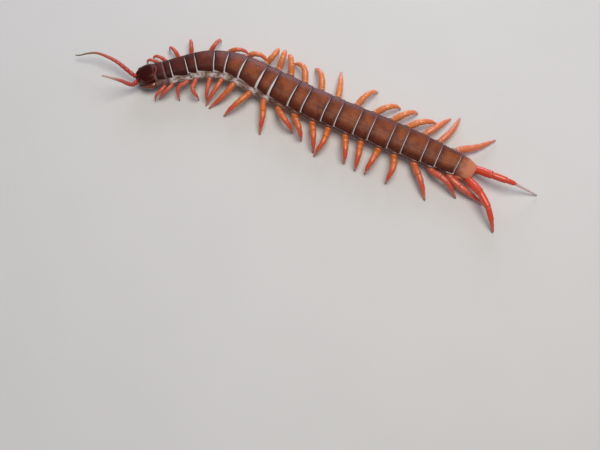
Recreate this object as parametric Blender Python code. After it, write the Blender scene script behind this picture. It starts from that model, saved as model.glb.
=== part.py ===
"""Giant centipede, life size, as a still model in a crawling pose.

The animal faces -X and its left side is towards -Y. Every sub-part is one closed solid of
its own: head, eyes, antennae, venom claws, seven lengths of the trunk and forty-two legs.
Sizes are in millimetres, and MM turns them into metres where a mesh is made.
"""

import math

import bmesh
import bpy
from mathutils import Vector

MM = 0.001
GAP = 0.3
UP = Vector((0.0, 0.0, 1.0))
LEFT = -1
RIGHT = 1
SIDE_NAMES = {LEFT: "left", RIGHT: "right"}

# Trunk: the plates of the back, from the first behind the head to the last
PLATE_LENGTHS = (4.6, 3.4, 7.7, 4.8, 9.2, 6.2, 8.4, 10.6, 7.2, 11.0, 7.1,
                 10.6, 6.9, 10.0, 7.4, 10.2, 7.0, 10.2, 7.1, 9.9, 9.0)
PLATE_WIDTHS = (11.2, 11.4, 12.0, 12.4, 13.2, 13.6, 14.4, 15.2, 15.4, 15.8, 15.6,
                15.8, 15.5, 15.5, 15.3, 15.4, 15.0, 14.6, 13.7, 12.1, 10.6)
PLATES_PER_LENGTH = 3
PLATE_STEP = 0.55
GROOVE_WIDTH = 0.3
PLATE_FRONT_SLOPE = 0.4
PLATE_REAR_SLOPE = 0.6
STARTS = tuple(sum(PLATE_LENGTHS[:index]) for index in range(len(PLATE_LENGTHS) + 1))
TRUNK_LENGTH = STARTS[-1]
LAST = len(PLATE_LENGTHS) - 1

# Path of the trunk over the floor: where the head ends, and how its heading turns
PATH_START = (-71.93, 28.98)
FIRST_HEADING = 14.5
BEND = -43.5
BEND_FROM = 13.0
BEND_OVER = 40.0
EASE = 4.5
EASE_FROM = 66.0
EASE_OVER = 30.0
TAIL_BEND = -12.0
TAIL_BEND_FROM = 155.0
TAIL_BEND_OVER = 12.0
PATH_STEP = 0.25
PATH_END = 180.0

# Roll of the front of the body, which lifts its left side
ROLL = 15.0
ROLL_HOLDS_TO = 30.0
ROLL_FADES_OVER = 45.0
ROLL_AXIS_HEIGHT = 4.5

# Cross-section of the trunk: (sideways, up) as shares of half the width and of the height
BELLY_HEIGHT = 2.6
BODY_HEIGHT = 8.4
THIN_FRONT = 1.2
THIN_FRONT_OVER = 30.0
THIN_REAR = 1.9
THIN_REAR_FROM = 125.0
THIN_REAR_OVER = 40.0
BACK_OUTLINE = ((0.0, 1.0), (0.45, 0.955), (0.80, 0.83), (1.0, 0.62))
FLANK_OUTLINE = ((0.90, 0.53, 0.3), (0.95, 0.36, 1.0), (0.80, 0.08, 0.4), (0.55, 0.0, 0.0), (0.0, 0.0, 0.0))
FRONT_SWELL = {LEFT: 2.6, RIGHT: 1.1}
REAR_SWELL = 0.2
SWELL_HOLDS_TO = 45.0
SWELL_FADES_OVER = 55.0
FLANK_SUNK = 0.5
BELLY_RAISED = 0.4

# Rounded rear end of the last plate: (before the end, half width, back height, belly height)
REAR_END = ((6.0, 5.3, 9.3, 2.9), (3.2, 5.0, 9.0, 3.0), (1.5, 4.4, 8.5, 3.3), (0.5, 3.3, 8.0, 3.8),
            (0.0, 2.1, 7.4, 4.5))
COXA_SPINE_ROOT = 3.6
COXA_SPINE_LENGTH = 4.4
COXA_SPINE_RADIUS = 0.75
COXA_SPINE_SPREAD = 1.3
COXA_SPINE_HEIGHT = 3.5
COXA_SPINE_SIDES = 6
SPINE_TIP = 0.2

# Head plate: (forward, half width, back height, edge height), over a flat underside
HEAD_RINGS = (
    (0.15, 4.7, 10.0, 7.3), (1.4, 5.1, 10.2, 7.3), (3.4, 5.4, 10.1, 7.2), (5.4, 5.3, 9.7, 7.0),
    (7.3, 4.7, 9.0, 6.7), (8.8, 3.6, 8.2, 6.4), (9.7, 2.3, 7.5, 6.2), (10.1, 1.2, 7.0, 6.1),
)
HEAD_UNDERSIDE = 5.0
HEAD_UNDERSIDE_REACH = 0.66
HEAD_TUCK_REACH = 0.92
HEAD_TUCK_DROP = 0.7
HEAD_OUTLINE = ((0.0, 1.0), (0.50, 0.93), (0.84, 0.62), (1.0, 0.0))

# Eyes: a low cushion with four lenses in a rhombus, on each front corner of the head
EYE_PLACE = (7.1, 4.3, 7.35)
EYE_FACING = (0.30, 0.80, 0.52)
EYE_CUSHION = (1.05, 0.95, 0.55)
LENS_RADIUS = 0.36
LENS_SPREAD = 0.55
LENS_CLOSENESS = 0.9
LENS_RISE = 0.32
CUSHION_FACETS = (10, 6)
LENS_FACETS = (8, 5)

# Plate under the head that carries the venom claws: (forward, half width)
COLLAR_RINGS = ((0.15, 3.7), (2.2, 3.6), (4.4, 2.9), (5.8, 2.2), (6.4, 1.7))
COLLAR_TOP = 4.7
COLLAR_BOTTOM = 2.3
COLLAR_OUTLINE = ((0.0, 1.0), (0.9, 1.0), (1.0, 0.75), (1.0, 0.33), (0.8, 0.0), (0.0, 0.0))

# Venom claws: (forward, sideways, height, radius) along the curve of each
VENOM_CLAW = (
    (-0.4, 3.7, 3.7, 1.20), (2.4, 5.0, 3.8, 1.55), (4.6, 5.2, 3.7, 1.50), (6.2, 4.6, 3.6, 1.20),
    (7.2, 4.0, 3.5, 1.05), (8.4, 3.0, 3.4, 0.80), (9.3, 1.9, 3.3, 0.52), (9.8, 0.8, 3.2, 0.27),
)
VENOM_CLAW_SIDES = 8

# Antennae: (forward, sideways, height) of the points that each one passes
ANTENNA_POINTS = {
    LEFT: ((8.2, -1.5, 6.7), (10.2, -1.8, 6.3), (12.0, -2.7, 6.2), (14.2, -2.5, 7.8), (16.6, -1.8, 10.6),
           (19.3, -1.4, 13.4), (22.1, -0.9, 15.9), (24.6, -0.5, 17.8)),
    RIGHT: ((8.2, 1.2, 6.6), (10.4, 2.0, 6.2), (13.2, 5.5, 6.8), (17.1, 10.5, 7.9), (21.3, 14.3, 8.5),
            (25.9, 17.8, 8.0), (30.5, 19.6, 6.6), (34.8, 20.6, 5.0), (37.2, 21.6, 4.3)),
}
ANTENNA_ARTICLES = 17
ANTENNA_RADII = {
    LEFT: ((0.0, 1.12), (0.25, 1.10), (0.45, 0.98), (0.60, 0.82), (0.80, 0.66), (1.0, 0.52)),
    RIGHT: ((0.0, 1.12), (0.25, 1.10), (0.45, 0.94), (0.60, 0.70), (0.80, 0.48), (1.0, 0.34)),
}
ANTENNA_ARTICLE_SHRINK = 0.96
ANTENNA_ARTICLE = ((0.10, 0.84), (0.88, 1.0))
ANTENNA_CURVE_STEPS = 8
ANTENNA_SIDES = 6

# Walking legs: length and radius of each article of a middle leg
COXA_LENGTH = 2.3
COXA_RADIUS = 1.50
COXA_BURIED = 1.0
WALKING_ARTICLES = ((4.6, 1.45), (3.7, 1.25), (3.6, 1.05), (2.6, 0.68), (1.6, 0.46))
BULGE = 1.06
BULGE_PLACE = 0.55
ULTIMATE_ARTICLES = {
    LEFT: ((9.8, 1.85), (8.0, 1.55), (6.6, 1.28), (3.8, 0.88), (2.1, 0.60)),
    RIGHT: ((9.0, 1.85), (7.0, 1.50), (4.2, 1.15), (8.8, 0.60), (5.0, 0.42)),
}
ULTIMATE_COXA_LENGTH = 0.9
ULTIMATE_COXA_RADIUS = 1.8
CLAW_LENGTH = 1.1
CLAW_SLOPE = 60.0
CLAW_RADIUS = 0.36
CLAW_TIP_RADIUS = 0.27
LEG_SIDES = 6
NECK = 0.86
JOINT_HALF_WIDTH = 0.34
# How far each article has dropped, as a share of the drop from the first to the last
ARTICLE_DROP = (0.0, 0.36, 0.74, 0.97, 1.0)
# How far each article has turned from the swing near the body to the swing of the foot
ARTICLE_TURN = (-0.05, 0.45, 1.0, 1.0, 1.0)
COXA_SWING_SHARE = 0.55
MOST_DROP = 175.0
HALVINGS = 40
# Where each root sits along its segment, with those that the bends draw forward or back
LEG_BASE_SHARE = 0.66
DRAWN_BASES = {
    LEFT: {3: 0.84, 5: 0.74, 6: 0.88, 7: 0.90, 8: 0.86, 9: 0.90, 18: 0.74, 19: 0.76, 20: 0.80},
    RIGHT: {7: 0.72, 8: 0.70, 9: 0.60, 10: 0.40, 11: 0.22, 12: 0.37, 13: 0.37, 14: 0.55},
}
LEG_BASE_REACH = 0.92
LEG_LEVEL = 0.32
ULTIMATE_BASE = 1.8
ULTIMATE_SPREAD = 3.0
ULTIMATE_BASE_HEIGHT = 5.2
LEG_SIZES = (0.62, 0.66, 0.71, 0.76, 0.78, 0.86, 0.94, 0.98, 1.0, 1.0, 1.0,
             1.0, 1.0, 1.0, 1.0, 1.02, 1.04, 1.07, 1.11, 1.22, 1.0)
LEG_GIRTHS = (1.0, 1.0, 1.05, 1.05, 1.0, 1.0, 1.08, 1.10, 1.14, 1.14, 1.14,
              1.14, 1.14, 1.14, 1.14, 1.14, 1.12, 1.08, 1.0, 1.0, 1.08)

# Pose of each leg, first pair to last: swing near the body, swing of the foot, reach of the
# foot over the floor. A swing is in degrees from straight out, and positive towards the tail.
LEG_POSES = {
    LEFT: ((-62, -78, 7.6), (-65, -85, 9.0), (-80, -5, 9.0), (-30, 55, 8.3), (-12, -22, 9.7),
           (-24, -32, 14.0), (-25, -35, 16.4), (-20, -30, 16.6), (30, 15, 16.4), (55, 75, 13.9),
           (46, 45, 13.0), (30, 25, 14.9), (10, -20, 15.5), (25, 20, 14.0), (15, 10, 14.5),
           (0, -15, 14.0), (20, -10, 14.5), (45, 40, 19.0), (78, 62, 19.0), (74, 84, 22.0),
           (66, 55, 28.4)),
    RIGHT: ((-60, -70, 7.5), (-50, -60, 9.0), (-20, -35, 9.5), (15, -5, 10.0), (50, 25, 11.0),
            (82, 80, 11.8), (78, 86, 11.5), (30, -20, 11.8), (-4, -22, 12.2), (-28, -42, 13.5),
            (-30, -75, 15.0), (-25, -50, 16.0), (-15, -20, 18.0), (20, 30, 16.0), (45, 50, 15.5),
            (45, 40, 16.0), (50, 55, 17.0), (35, 25, 19.0), (25, 5, 20.0), (55, 40, 23.5),
            (84, 69, 32.7)),
}
LEG_SPINES = ((0.25, 200.0), (0.45, 250.0), (0.65, 290.0), (0.90, 60.0))
LEG_SPINE_LENGTH = 0.9
LEG_SPINE_RADIUS = 0.36
LEG_SPINE_SIDES = 5
LEG_SPINE_ROOT = 0.55
LEG_SPINE_LEAN = 0.35

# Colours, each with its roughness
FINISHES = {
    "plate": ((0.16, 0.035, 0.020), 0.35),
    "head": ((0.14, 0.018, 0.012), 0.30),
    "leg": ((0.72, 0.17, 0.045), 0.40),
    "ultimate": ((0.68, 0.06, 0.025), 0.40),
    "antenna": ((0.55, 0.09, 0.05), 0.45),
    "venom": ((0.50, 0.11, 0.035), 0.30),
    "eye": ((0.012, 0.010, 0.010), 0.10),
}
SMOOTH_ANGLE = 42.0


def ramp(value, start, length):
    """A smooth rise from 0 to 1 as the value goes from the start over the length."""
    share = min(max((value - start) / length, 0.0), 1.0)
    return share * share * (3.0 - 2.0 * share)


def heading(distance):
    """The trunk's direction towards the tail, in radians, at a distance behind the head."""
    turned = BEND * ramp(distance, BEND_FROM, BEND_OVER) + EASE * ramp(distance, EASE_FROM, EASE_OVER)
    turned += TAIL_BEND * ramp(distance, TAIL_BEND_FROM, TAIL_BEND_OVER)
    return math.radians(FIRST_HEADING + turned)


def walk_path():
    """Points of the trunk's path, one every PATH_STEP, summed from its heading."""
    x, y = PATH_START
    points = [(x, y)]
    for index in range(int(PATH_END / PATH_STEP)):
        angle = heading((index + 0.5) * PATH_STEP)
        x += PATH_STEP * math.cos(angle)
        y += PATH_STEP * math.sin(angle)
        points.append((x, y))
    return points


PATH = walk_path()


def axis_point(distance):
    """The path's point at a distance behind the head; ahead of the head it runs straight on."""
    if distance < 0.0:
        x, y = PATH[0]
        return Vector((x + distance * math.cos(heading(0.0)), y + distance * math.sin(heading(0.0)), 0.0))
    index = min(int(distance / PATH_STEP), len(PATH) - 2)
    share = distance / PATH_STEP - index
    start = Vector(PATH[index]).to_3d()
    end = Vector(PATH[index + 1]).to_3d()
    return start.lerp(end, share)


def tailward(distance):
    """Unit vector along the trunk towards the tail."""
    angle = heading(distance)
    return Vector((math.cos(angle), math.sin(angle), 0.0))


def rightward(distance):
    """Unit vector across the trunk towards the animal's right."""
    angle = heading(distance)
    return Vector((-math.sin(angle), math.cos(angle), 0.0))


def place(distance, side, height, level=False):
    """A point beside the path, turned with the body's roll unless it is a level one."""
    roll = 0.0 if level else math.radians(ROLL * (1.0 - ramp(distance, ROLL_HOLDS_TO, ROLL_FADES_OVER)))
    above = height - ROLL_AXIS_HEIGHT
    rolled_side = side * math.cos(roll) + above * math.sin(roll)
    rolled_height = ROLL_AXIS_HEIGHT - side * math.sin(roll) + above * math.cos(roll)
    return axis_point(distance) + rightward(distance) * rolled_side + UP * rolled_height


def body_height(distance):
    """Height of the trunk's section, which is thinner at the neck and at the tail."""
    front = THIN_FRONT * (1.0 - ramp(distance, 0.0, THIN_FRONT_OVER))
    rear = THIN_REAR * ramp(distance, THIN_REAR_FROM, THIN_REAR_OVER)
    return BODY_HEIGHT - front - rear


def swell(distance, side):
    """How far the soft flank of a side stands out past the plates."""
    front = FRONT_SWELL[side]
    return front + (REAR_SWELL - front) * ramp(distance, SWELL_HOLDS_TO, SWELL_FADES_OVER)


def read_stops(stops, value):
    """A number read at a value between stops of (value, number)."""
    if value <= stops[0][0]:
        return stops[0][1]
    for (start, first), (end, second) in zip(stops, stops[1:]):
        if value <= end:
            return first + (second - first) * (value - start) / (end - start)
    return stops[-1][1]


WIDTH_STOPS = [((start + end) / 2.0, width / 2.0) for start, end, width in zip(STARTS, STARTS[1:], PLATE_WIDTHS)]


def half_width(distance):
    """Half the width of the plates, read between the middles of neighbouring plates."""
    return read_stops(WIDTH_STOPS, distance)


def ring_from_halves(right, left, distance):
    """A closed ring from the points of its two halves, each from top to bottom."""
    down = [place(distance, side, height) for side, height in right]
    back_up = [place(distance, -side, height) for side, height in left[-2:0:-1]]
    return down + back_up


def ring_from_half(half, distance):
    """A closed ring that is the same on both sides."""
    return ring_from_halves(half, half, distance)


def trunk_ring(distance, sunk):
    """A cross-section of the trunk, sunk in the groove between two plates."""
    width = half_width(distance)
    tall = body_height(distance)
    halves = {}
    for side in (RIGHT, LEFT):
        half = [((width - sunk) * reach, BELLY_HEIGHT + tall * level - sunk) for reach, level in BACK_OUTLINE]
        for reach, level, share in FLANK_OUTLINE:
            out = (width - sunk * FLANK_SUNK) * reach + swell(distance, side) * share
            half.append((out, BELLY_HEIGHT + tall * level + sunk * BELLY_RAISED * (1.0 - level)))
        halves[side] = half
    return ring_from_halves(halves[RIGHT], halves[LEFT], distance)


def rear_ring(before_end, width, top, bottom):
    """A cross-section of the rounded rear end."""
    tall = top - bottom
    half = [(width * reach, bottom + tall * level) for reach, level in BACK_OUTLINE]
    half += [(width * reach, bottom + tall * level) for reach, level, share in FLANK_OUTLINE]
    return ring_from_half(half, TRUNK_LENGTH - before_end)


def plate_rings(index):
    """Rings of one body segment: groove, front slope, middle, rear margin and groove."""
    start = STARTS[index] + GROOVE_WIDTH / 2.0
    end = STARTS[index + 1] - GROOVE_WIDTH / 2.0
    front = start + PLATE_FRONT_SLOPE
    rings = [trunk_ring(start, PLATE_STEP), trunk_ring(front, 0.0)]
    if index == LAST:
        rings += [rear_ring(*sizes) for sizes in REAR_END]
        return rings
    rear = end - PLATE_REAR_SLOPE
    rings += [trunk_ring((front + rear) / 2.0, 0.0), trunk_ring(rear, 0.0), trunk_ring(end, PLATE_STEP)]
    return rings


def loft(rings):
    """One closed mesh through a row of rings with equal counts, made by extruding its end face."""
    bm = bmesh.new()
    cap = bm.faces.new([bm.verts.new(point) for point in rings[0]])
    inner = None
    for ring in rings[1:]:
        made = bmesh.ops.extrude_face_region(bm, geom=[cap])
        if inner is not None:
            bm.faces.remove(inner)
        cap = next(item for item in made["geom"] if isinstance(item, bmesh.types.BMFace))
        for vert, point in zip(cap.verts, ring):
            vert.co = point
        inner = cap
    bm.normal_update()
    bmesh.ops.recalc_face_normals(bm, faces=bm.faces)
    return bm


def grown(rings):
    """A loft whose surface stands off by the gap, to cut its neighbours with."""
    bm = loft(rings)
    bm.normal_update()
    moves = [(vert, vert.normal * vert.calc_shell_factor() * GAP) for vert in bm.verts]
    for vert, move in moves:
        vert.co += move
    return bm


def make_object(name, bm, finish):
    """A named object from a mesh in millimetres, in metres and smooth shaded."""
    bmesh.ops.scale(bm, vec=(MM, MM, MM), verts=bm.verts)
    mesh = bpy.data.meshes.new(name)
    bm.to_mesh(mesh)
    bm.free()
    mesh.shade_smooth()
    mesh.set_sharp_from_angle(angle=math.radians(SMOOTH_ANGLE))
    piece = bpy.data.objects.new(name, mesh)
    bpy.context.collection.objects.link(piece)
    if finish:
        mesh.materials.append(MATERIALS[finish])
    return piece


def make_cutter(name, bm):
    """A hidden object that only cuts others."""
    cutter = make_object(name, bm, None)
    cutter.hide_render = True
    cutter.display_type = "WIRE"
    return cutter


def make_material(name, colour, roughness):
    """A Principled material of one colour."""
    material = bpy.data.materials.new(name)
    material.use_nodes = True
    shader = material.node_tree.nodes["Principled BSDF"]
    shader.inputs["Base Color"].default_value = (*colour, 1.0)
    shader.inputs["Roughness"].default_value = roughness
    return material


def keep_largest(mesh):
    """Leaves only the largest closed surface of a mesh."""
    bm = bmesh.new()
    bm.from_mesh(mesh)
    bm.faces.ensure_lookup_table()
    unseen = set(bm.faces)
    islands = []
    while unseen:
        island = []
        front = [unseen.pop()]
        while front:
            face = front.pop()
            island.append(face)
            for edge in face.edges:
                for other in edge.link_faces:
                    if other in unseen:
                        unseen.discard(other)
                        front.append(other)
        islands.append(island)
    islands.sort(key=lambda faces: sum(face.calc_area() for face in faces))
    for island in islands[:-1]:
        bmesh.ops.delete(bm, geom=island, context="FACES")
    bm.to_mesh(mesh)
    bm.free()


def apply_boolean(piece, operation, operand):
    """Applies one Boolean to a piece; the operand is an object or a collection."""
    modifier = piece.modifiers.new(operation.lower(), "BOOLEAN")
    modifier.operation = operation
    modifier.solver = "EXACT"
    if isinstance(operand, bpy.types.Collection):
        modifier.operand_type = "COLLECTION"
        modifier.collection = operand
    else:
        modifier.object = operand
    depsgraph = bpy.context.evaluated_depsgraph_get()
    mesh = bpy.data.meshes.new_from_object(piece.evaluated_get(depsgraph))
    piece.modifiers.clear()
    piece.data = mesh
    keep_largest(mesh)
    mesh.shade_smooth()
    mesh.set_sharp_from_angle(angle=math.radians(SMOOTH_ANGLE))


def cut(piece, cutters):
    """Takes each cutter's space out of a piece and removes the cutters."""
    for cutter in cutters:
        apply_boolean(piece, "DIFFERENCE", cutter)
        bpy.data.objects.remove(cutter)


def fuse(piece, parts):
    """Joins closed parts to a piece in one union and removes them."""
    group = bpy.data.collections.new(piece.name + "_parts")
    bpy.context.scene.collection.children.link(group)
    for part in parts:
        bpy.context.collection.objects.unlink(part)
        group.objects.link(part)
    apply_boolean(piece, "UNION", group)
    for part in parts:
        bpy.data.objects.remove(part)
    bpy.data.collections.remove(group)


def circle(centre, across, over, radius, sides):
    """A ring of points round a centre, in the plane of two unit vectors."""
    angles = [2.0 * math.pi * index / sides for index in range(sides)]
    return [centre + (across * math.cos(angle) + over * math.sin(angle)) * radius for angle in angles]


def cone(base, direction, radius, length, sides):
    """A spine: a ring at its root and a small one at its tip."""
    forward = direction.normalized()
    across = forward.orthogonal().normalized()
    over = forward.cross(across)
    return loft([
        circle(base, across, over, radius, sides),
        circle(base + forward * length, across, over, radius * SPINE_TIP, sides),
    ])


def smooth_curve(points, steps):
    """Points along a smooth curve that passes the given ones."""
    curve = []
    for index in range(len(points) - 1):
        before = points[max(index - 1, 0)]
        start = points[index]
        end = points[index + 1]
        after = points[min(index + 2, len(points) - 1)]
        for step in range(steps):
            t = step / steps
            curve.append(0.5 * (
                2.0 * start + (end - before) * t
                + (2.0 * before - 5.0 * start + 4.0 * end - after) * t ** 2
                + (3.0 * start - before - 3.0 * end + after) * t ** 3))
    curve.append(points[-1])
    return curve


def curve_reader(curve):
    """Length of a curve, and a function that gives its point and direction at a distance."""
    lengths = [0.0]
    for start, end in zip(curve, curve[1:]):
        lengths.append(lengths[-1] + (end - start).length)

    def read(distance):
        index = 0
        while index < len(curve) - 2 and lengths[index + 1] < distance:
            index += 1
        span = lengths[index + 1] - lengths[index]
        share = (distance - lengths[index]) / span
        return curve[index].lerp(curve[index + 1], share), (curve[index + 1] - curve[index]).normalized()

    return lengths[-1], read


def tube_ring(centre, direction, across, radius, sides):
    """A ring square to a direction, with one axis as near as can be to the given one."""
    over = direction.cross(across).normalized()
    return circle(centre, over.cross(direction), over, radius, sides)


def level_across(direction):
    """The level unit vector to the left of a direction."""
    return UP.cross(Vector((direction.x, direction.y, 0.0))).normalized()


def make_trunk():
    """Seven trunk lengths of three segments each, which part at the grooves."""
    for first in range(0, LAST + 1, PLATES_PER_LENGTH):
        last = first + PLATES_PER_LENGTH - 1
        rings = [ring for index in range(first, last + 1) for ring in plate_rings(index)]
        piece = make_object(f"trunk_{first + 1:02d}_{last + 1:02d}", loft(rings), "plate")
        if last == LAST:
            fuse(piece, [make_object("coxa_spine", coxa_spine(side, 0.0), "plate") for side in (LEFT, RIGHT)])


def coxa_spine(side, grow):
    """The blunt spine that ends the flank under each last leg, larger all round by the growth."""
    root = place(TRUNK_LENGTH - COXA_SPINE_ROOT, side * COXA_SPINE_SPREAD, COXA_SPINE_HEIGHT)
    length = COXA_SPINE_LENGTH + grow
    return cone(root, tailward(TRUNK_LENGTH), COXA_SPINE_RADIUS + grow, length, COXA_SPINE_SIDES)


def make_trunk_cutter():
    """The whole trunk in one, straight over its grooves and grown by the gap, for what meets it."""
    rings = plate_rings(0)[:1]
    for index in range(LAST):
        rings += plate_rings(index)[1:-1]
    rings += plate_rings(LAST)[1:]
    return make_cutter("trunk_cutter", grown(rings))


def head_rings():
    """Rings of the head plate with its flat underside."""
    rings = []
    for forward, width, top, edge in HEAD_RINGS:
        half = [(width * reach, edge + (top - edge) * level) for reach, level in HEAD_OUTLINE]
        half.append((width * HEAD_TUCK_REACH, edge - HEAD_TUCK_DROP))
        half += [(width * HEAD_UNDERSIDE_REACH, HEAD_UNDERSIDE), (0.0, HEAD_UNDERSIDE)]
        rings.append(ring_from_half(half, -forward))
    return rings


def collar_rings():
    """Rings of the plate under the head."""
    rings = []
    for forward, width in COLLAR_RINGS:
        half = [(width * reach, COLLAR_BOTTOM + (COLLAR_TOP - COLLAR_BOTTOM) * level)
                for reach, level in COLLAR_OUTLINE]
        rings.append(ring_from_half(half, -forward))
    return rings


def venom_claw_rings(side):
    """Rings along the curve of one venom claw."""
    centres = [place(-forward, side * sideways, height) for forward, sideways, height, radius in VENOM_CLAW]
    rings = []
    for index, (centre, sizes) in enumerate(zip(centres, VENOM_CLAW)):
        before = centres[max(index - 1, 0)]
        after = centres[min(index + 1, len(centres) - 1)]
        direction = (after - before).normalized()
        rings.append(tube_ring(centre, direction, level_across(direction), sizes[-1], VENOM_CLAW_SIDES))
    return rings


def eye_bodies(side, grow):
    """The cushion and the four lenses of one eye group, as separate closed meshes."""
    forward, sideways, height = EYE_PLACE
    centre = place(-forward, side * sideways, height)
    ahead, out, above = EYE_FACING
    origin = place(-forward, 0.0, height)
    facing = (place(-forward - ahead, side * out, height + above) - origin).normalized()
    along = (-tailward(0.0) - facing * facing.dot(-tailward(0.0))).normalized()
    over = facing.cross(along)
    bodies = [(centre, EYE_CUSHION, CUSHION_FACETS)]
    for step_along, step_over in ((1, 0), (-1, 0), (0, 1), (0, -1)):
        spread = (along * step_along + over * step_over * LENS_CLOSENESS) * LENS_SPREAD
        bodies.append((centre + spread + facing * LENS_RISE, (LENS_RADIUS, LENS_RADIUS, LENS_RADIUS), LENS_FACETS))
    meshes = []
    for middle, (long_radius, wide_radius, deep_radius), (around, layers) in bodies:
        bm = bmesh.new()
        bmesh.ops.create_uvsphere(bm, u_segments=around, v_segments=layers, radius=1.0)
        for vert in bm.verts:
            offset = along * vert.co.x * (long_radius + grow) + over * vert.co.y * (wide_radius + grow)
            vert.co = middle + offset + facing * vert.co.z * (deep_radius + grow)
        bm.normal_update()
        bmesh.ops.recalc_face_normals(bm, faces=bm.faces)
        meshes.append(bm)
    return meshes


def make_head(trunk_cutter):
    """Head plate, eyes, the plate under the head and the venom claws, each cut clear of the last."""
    head = make_object("head", loft(head_rings()), "head")
    for side in (LEFT, RIGHT):
        name = "eye_" + SIDE_NAMES[side]
        cushion, *lenses = [make_object(name, bm, "eye") for bm in eye_bodies(side, 0.0)]
        fuse(cushion, lenses)
        cut(head, [make_cutter(name + "_socket", bm) for bm in eye_bodies(side, GAP)])
    head_cutter = make_cutter("head_cutter", grown(head_rings()))
    collar = make_object("venom_claw_plate", loft(collar_rings()), "venom")
    for side in (LEFT, RIGHT):
        rings = venom_claw_rings(side)
        claw = make_object("venom_claw_" + SIDE_NAMES[side], loft(rings), "venom")
        apply_boolean(claw, "DIFFERENCE", head_cutter)
        apply_boolean(claw, "DIFFERENCE", trunk_cutter)
        cut(collar, [make_cutter("claw_cutter", grown(rings))])
    for side in (LEFT, RIGHT):
        antenna = make_antenna(side)
        apply_boolean(antenna, "DIFFERENCE", head_cutter)
    bpy.data.objects.remove(head_cutter)


def make_antenna(side):
    """One antenna: articles that taper and shorten along a smooth curve."""
    points = [place(-forward, sideways, height, level=True) for forward, sideways, height in ANTENNA_POINTS[side]]
    length, read = curve_reader(smooth_curve(points, ANTENNA_CURVE_STEPS))
    shares = [ANTENNA_ARTICLE_SHRINK ** index for index in range(ANTENNA_ARTICLES)]
    rings = []
    reached = 0.0
    for share in shares:
        article = length * share / sum(shares)
        for inside, swollen in ANTENNA_ARTICLE:
            distance = reached + article * inside
            radius = read_stops(ANTENNA_RADII[side], distance / length)
            centre, direction = read(distance)
            rings.append(tube_ring(centre, direction, level_across(direction), radius * swollen, ANTENNA_SIDES))
        reached += article
    return make_object("antenna_" + SIDE_NAMES[side], loft(rings), "antenna")


def leg_base(pair, side):
    """Where a leg leaves the flank, and its distance along the trunk."""
    index = pair - 1
    if index == LAST:
        distance = TRUNK_LENGTH - ULTIMATE_BASE
        return distance, place(distance, side * ULTIMATE_SPREAD, ULTIMATE_BASE_HEIGHT)
    share = DRAWN_BASES[side].get(pair, LEG_BASE_SHARE)
    distance = STARTS[index] + PLATE_LENGTHS[index] * share
    sideways = half_width(distance) * LEG_BASE_REACH + swell(distance, side)
    return distance, place(distance, side * sideways, BELLY_HEIGHT + body_height(distance) * LEG_LEVEL)


def swung(distance, side, swing):
    """Level unit vector out of the body at a swing towards the tail, in degrees."""
    angle = math.radians(swing)
    return rightward(distance) * side * math.cos(angle) + tailward(distance) * math.sin(angle)


def leg_angles(lengths, plans, fixed_plan, drop_to_floor, reach):
    """Slopes of the articles whose foot comes down to the floor at the reach.

    The first slope and the drop to the last are the two unknowns. For each drop the first
    slope follows from the height, and the drop is found by halving its range.
    """
    low, high = 0.0, MOST_DROP
    for _ in range(HALVINGS):
        drop = math.radians((low + high) / 2.0)
        x = sum(length * math.cos(share * drop) for length, share in zip(lengths, ARTICLE_DROP))
        y = sum(-length * math.sin(share * drop) for length, share in zip(lengths, ARTICLE_DROP))
        sine = max(min(-drop_to_floor / math.hypot(x, y), 1.0), -1.0)
        first = math.asin(sine) - math.atan2(y, x)
        slopes = [first - share * drop for share in ARTICLE_DROP]
        foot = fixed_plan.copy()
        for length, plan, slope in zip(lengths, plans, slopes):
            foot += plan * length * math.cos(slope)
        if foot.length > reach:
            low = (low + high) / 2.0
        else:
            high = (low + high) / 2.0
    return slopes


def leg_joints(pair, side):
    """Joint points, article directions and radii of one leg, from its buried root to its foot."""
    index = pair - 1
    near_swing, foot_swing, reach = LEG_POSES[side][index]
    ultimate = index == LAST
    size = LEG_SIZES[index]
    girth = size * LEG_GIRTHS[index]
    articles = ULTIMATE_ARTICLES[side] if ultimate else WALKING_ARTICLES
    lengths = [length * size for length, radius in articles]
    radii = [radius * girth for length, radius in articles]
    coxa_length = (ULTIMATE_COXA_LENGTH if ultimate else COXA_LENGTH) * size
    coxa_radius = (ULTIMATE_COXA_RADIUS if ultimate else COXA_RADIUS) * girth
    distance, base = leg_base(pair, side)
    coxa_swing = near_swing if ultimate else near_swing * COXA_SWING_SHARE
    coxa_plan = swung(distance, side, coxa_swing)
    swings = [near_swing + (foot_swing - near_swing) * share for share in ARTICLE_TURN]
    plans = [swung(distance, side, swing) for swing in swings]
    slope = math.radians(CLAW_SLOPE)
    claw_length = CLAW_LENGTH * size
    fixed = coxa_plan * coxa_length + plans[-1] * claw_length * math.cos(slope)
    slopes = leg_angles(lengths, plans, fixed, base.z - claw_length * math.sin(slope), reach)
    directions = [coxa_plan]
    directions += [plan * math.cos(angle) + UP * math.sin(angle) for plan, angle in zip(plans, slopes)]
    directions.append(plans[-1] * math.cos(slope) - UP * math.sin(slope))
    joints = [base - coxa_plan * COXA_BURIED, base + coxa_plan * coxa_length]
    for direction, length in zip(directions[1:], lengths + [claw_length]):
        joints.append(joints[-1] + direction * length)
    return joints, directions, [coxa_radius] + radii + [CLAW_RADIUS * math.sqrt(size)]


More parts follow.
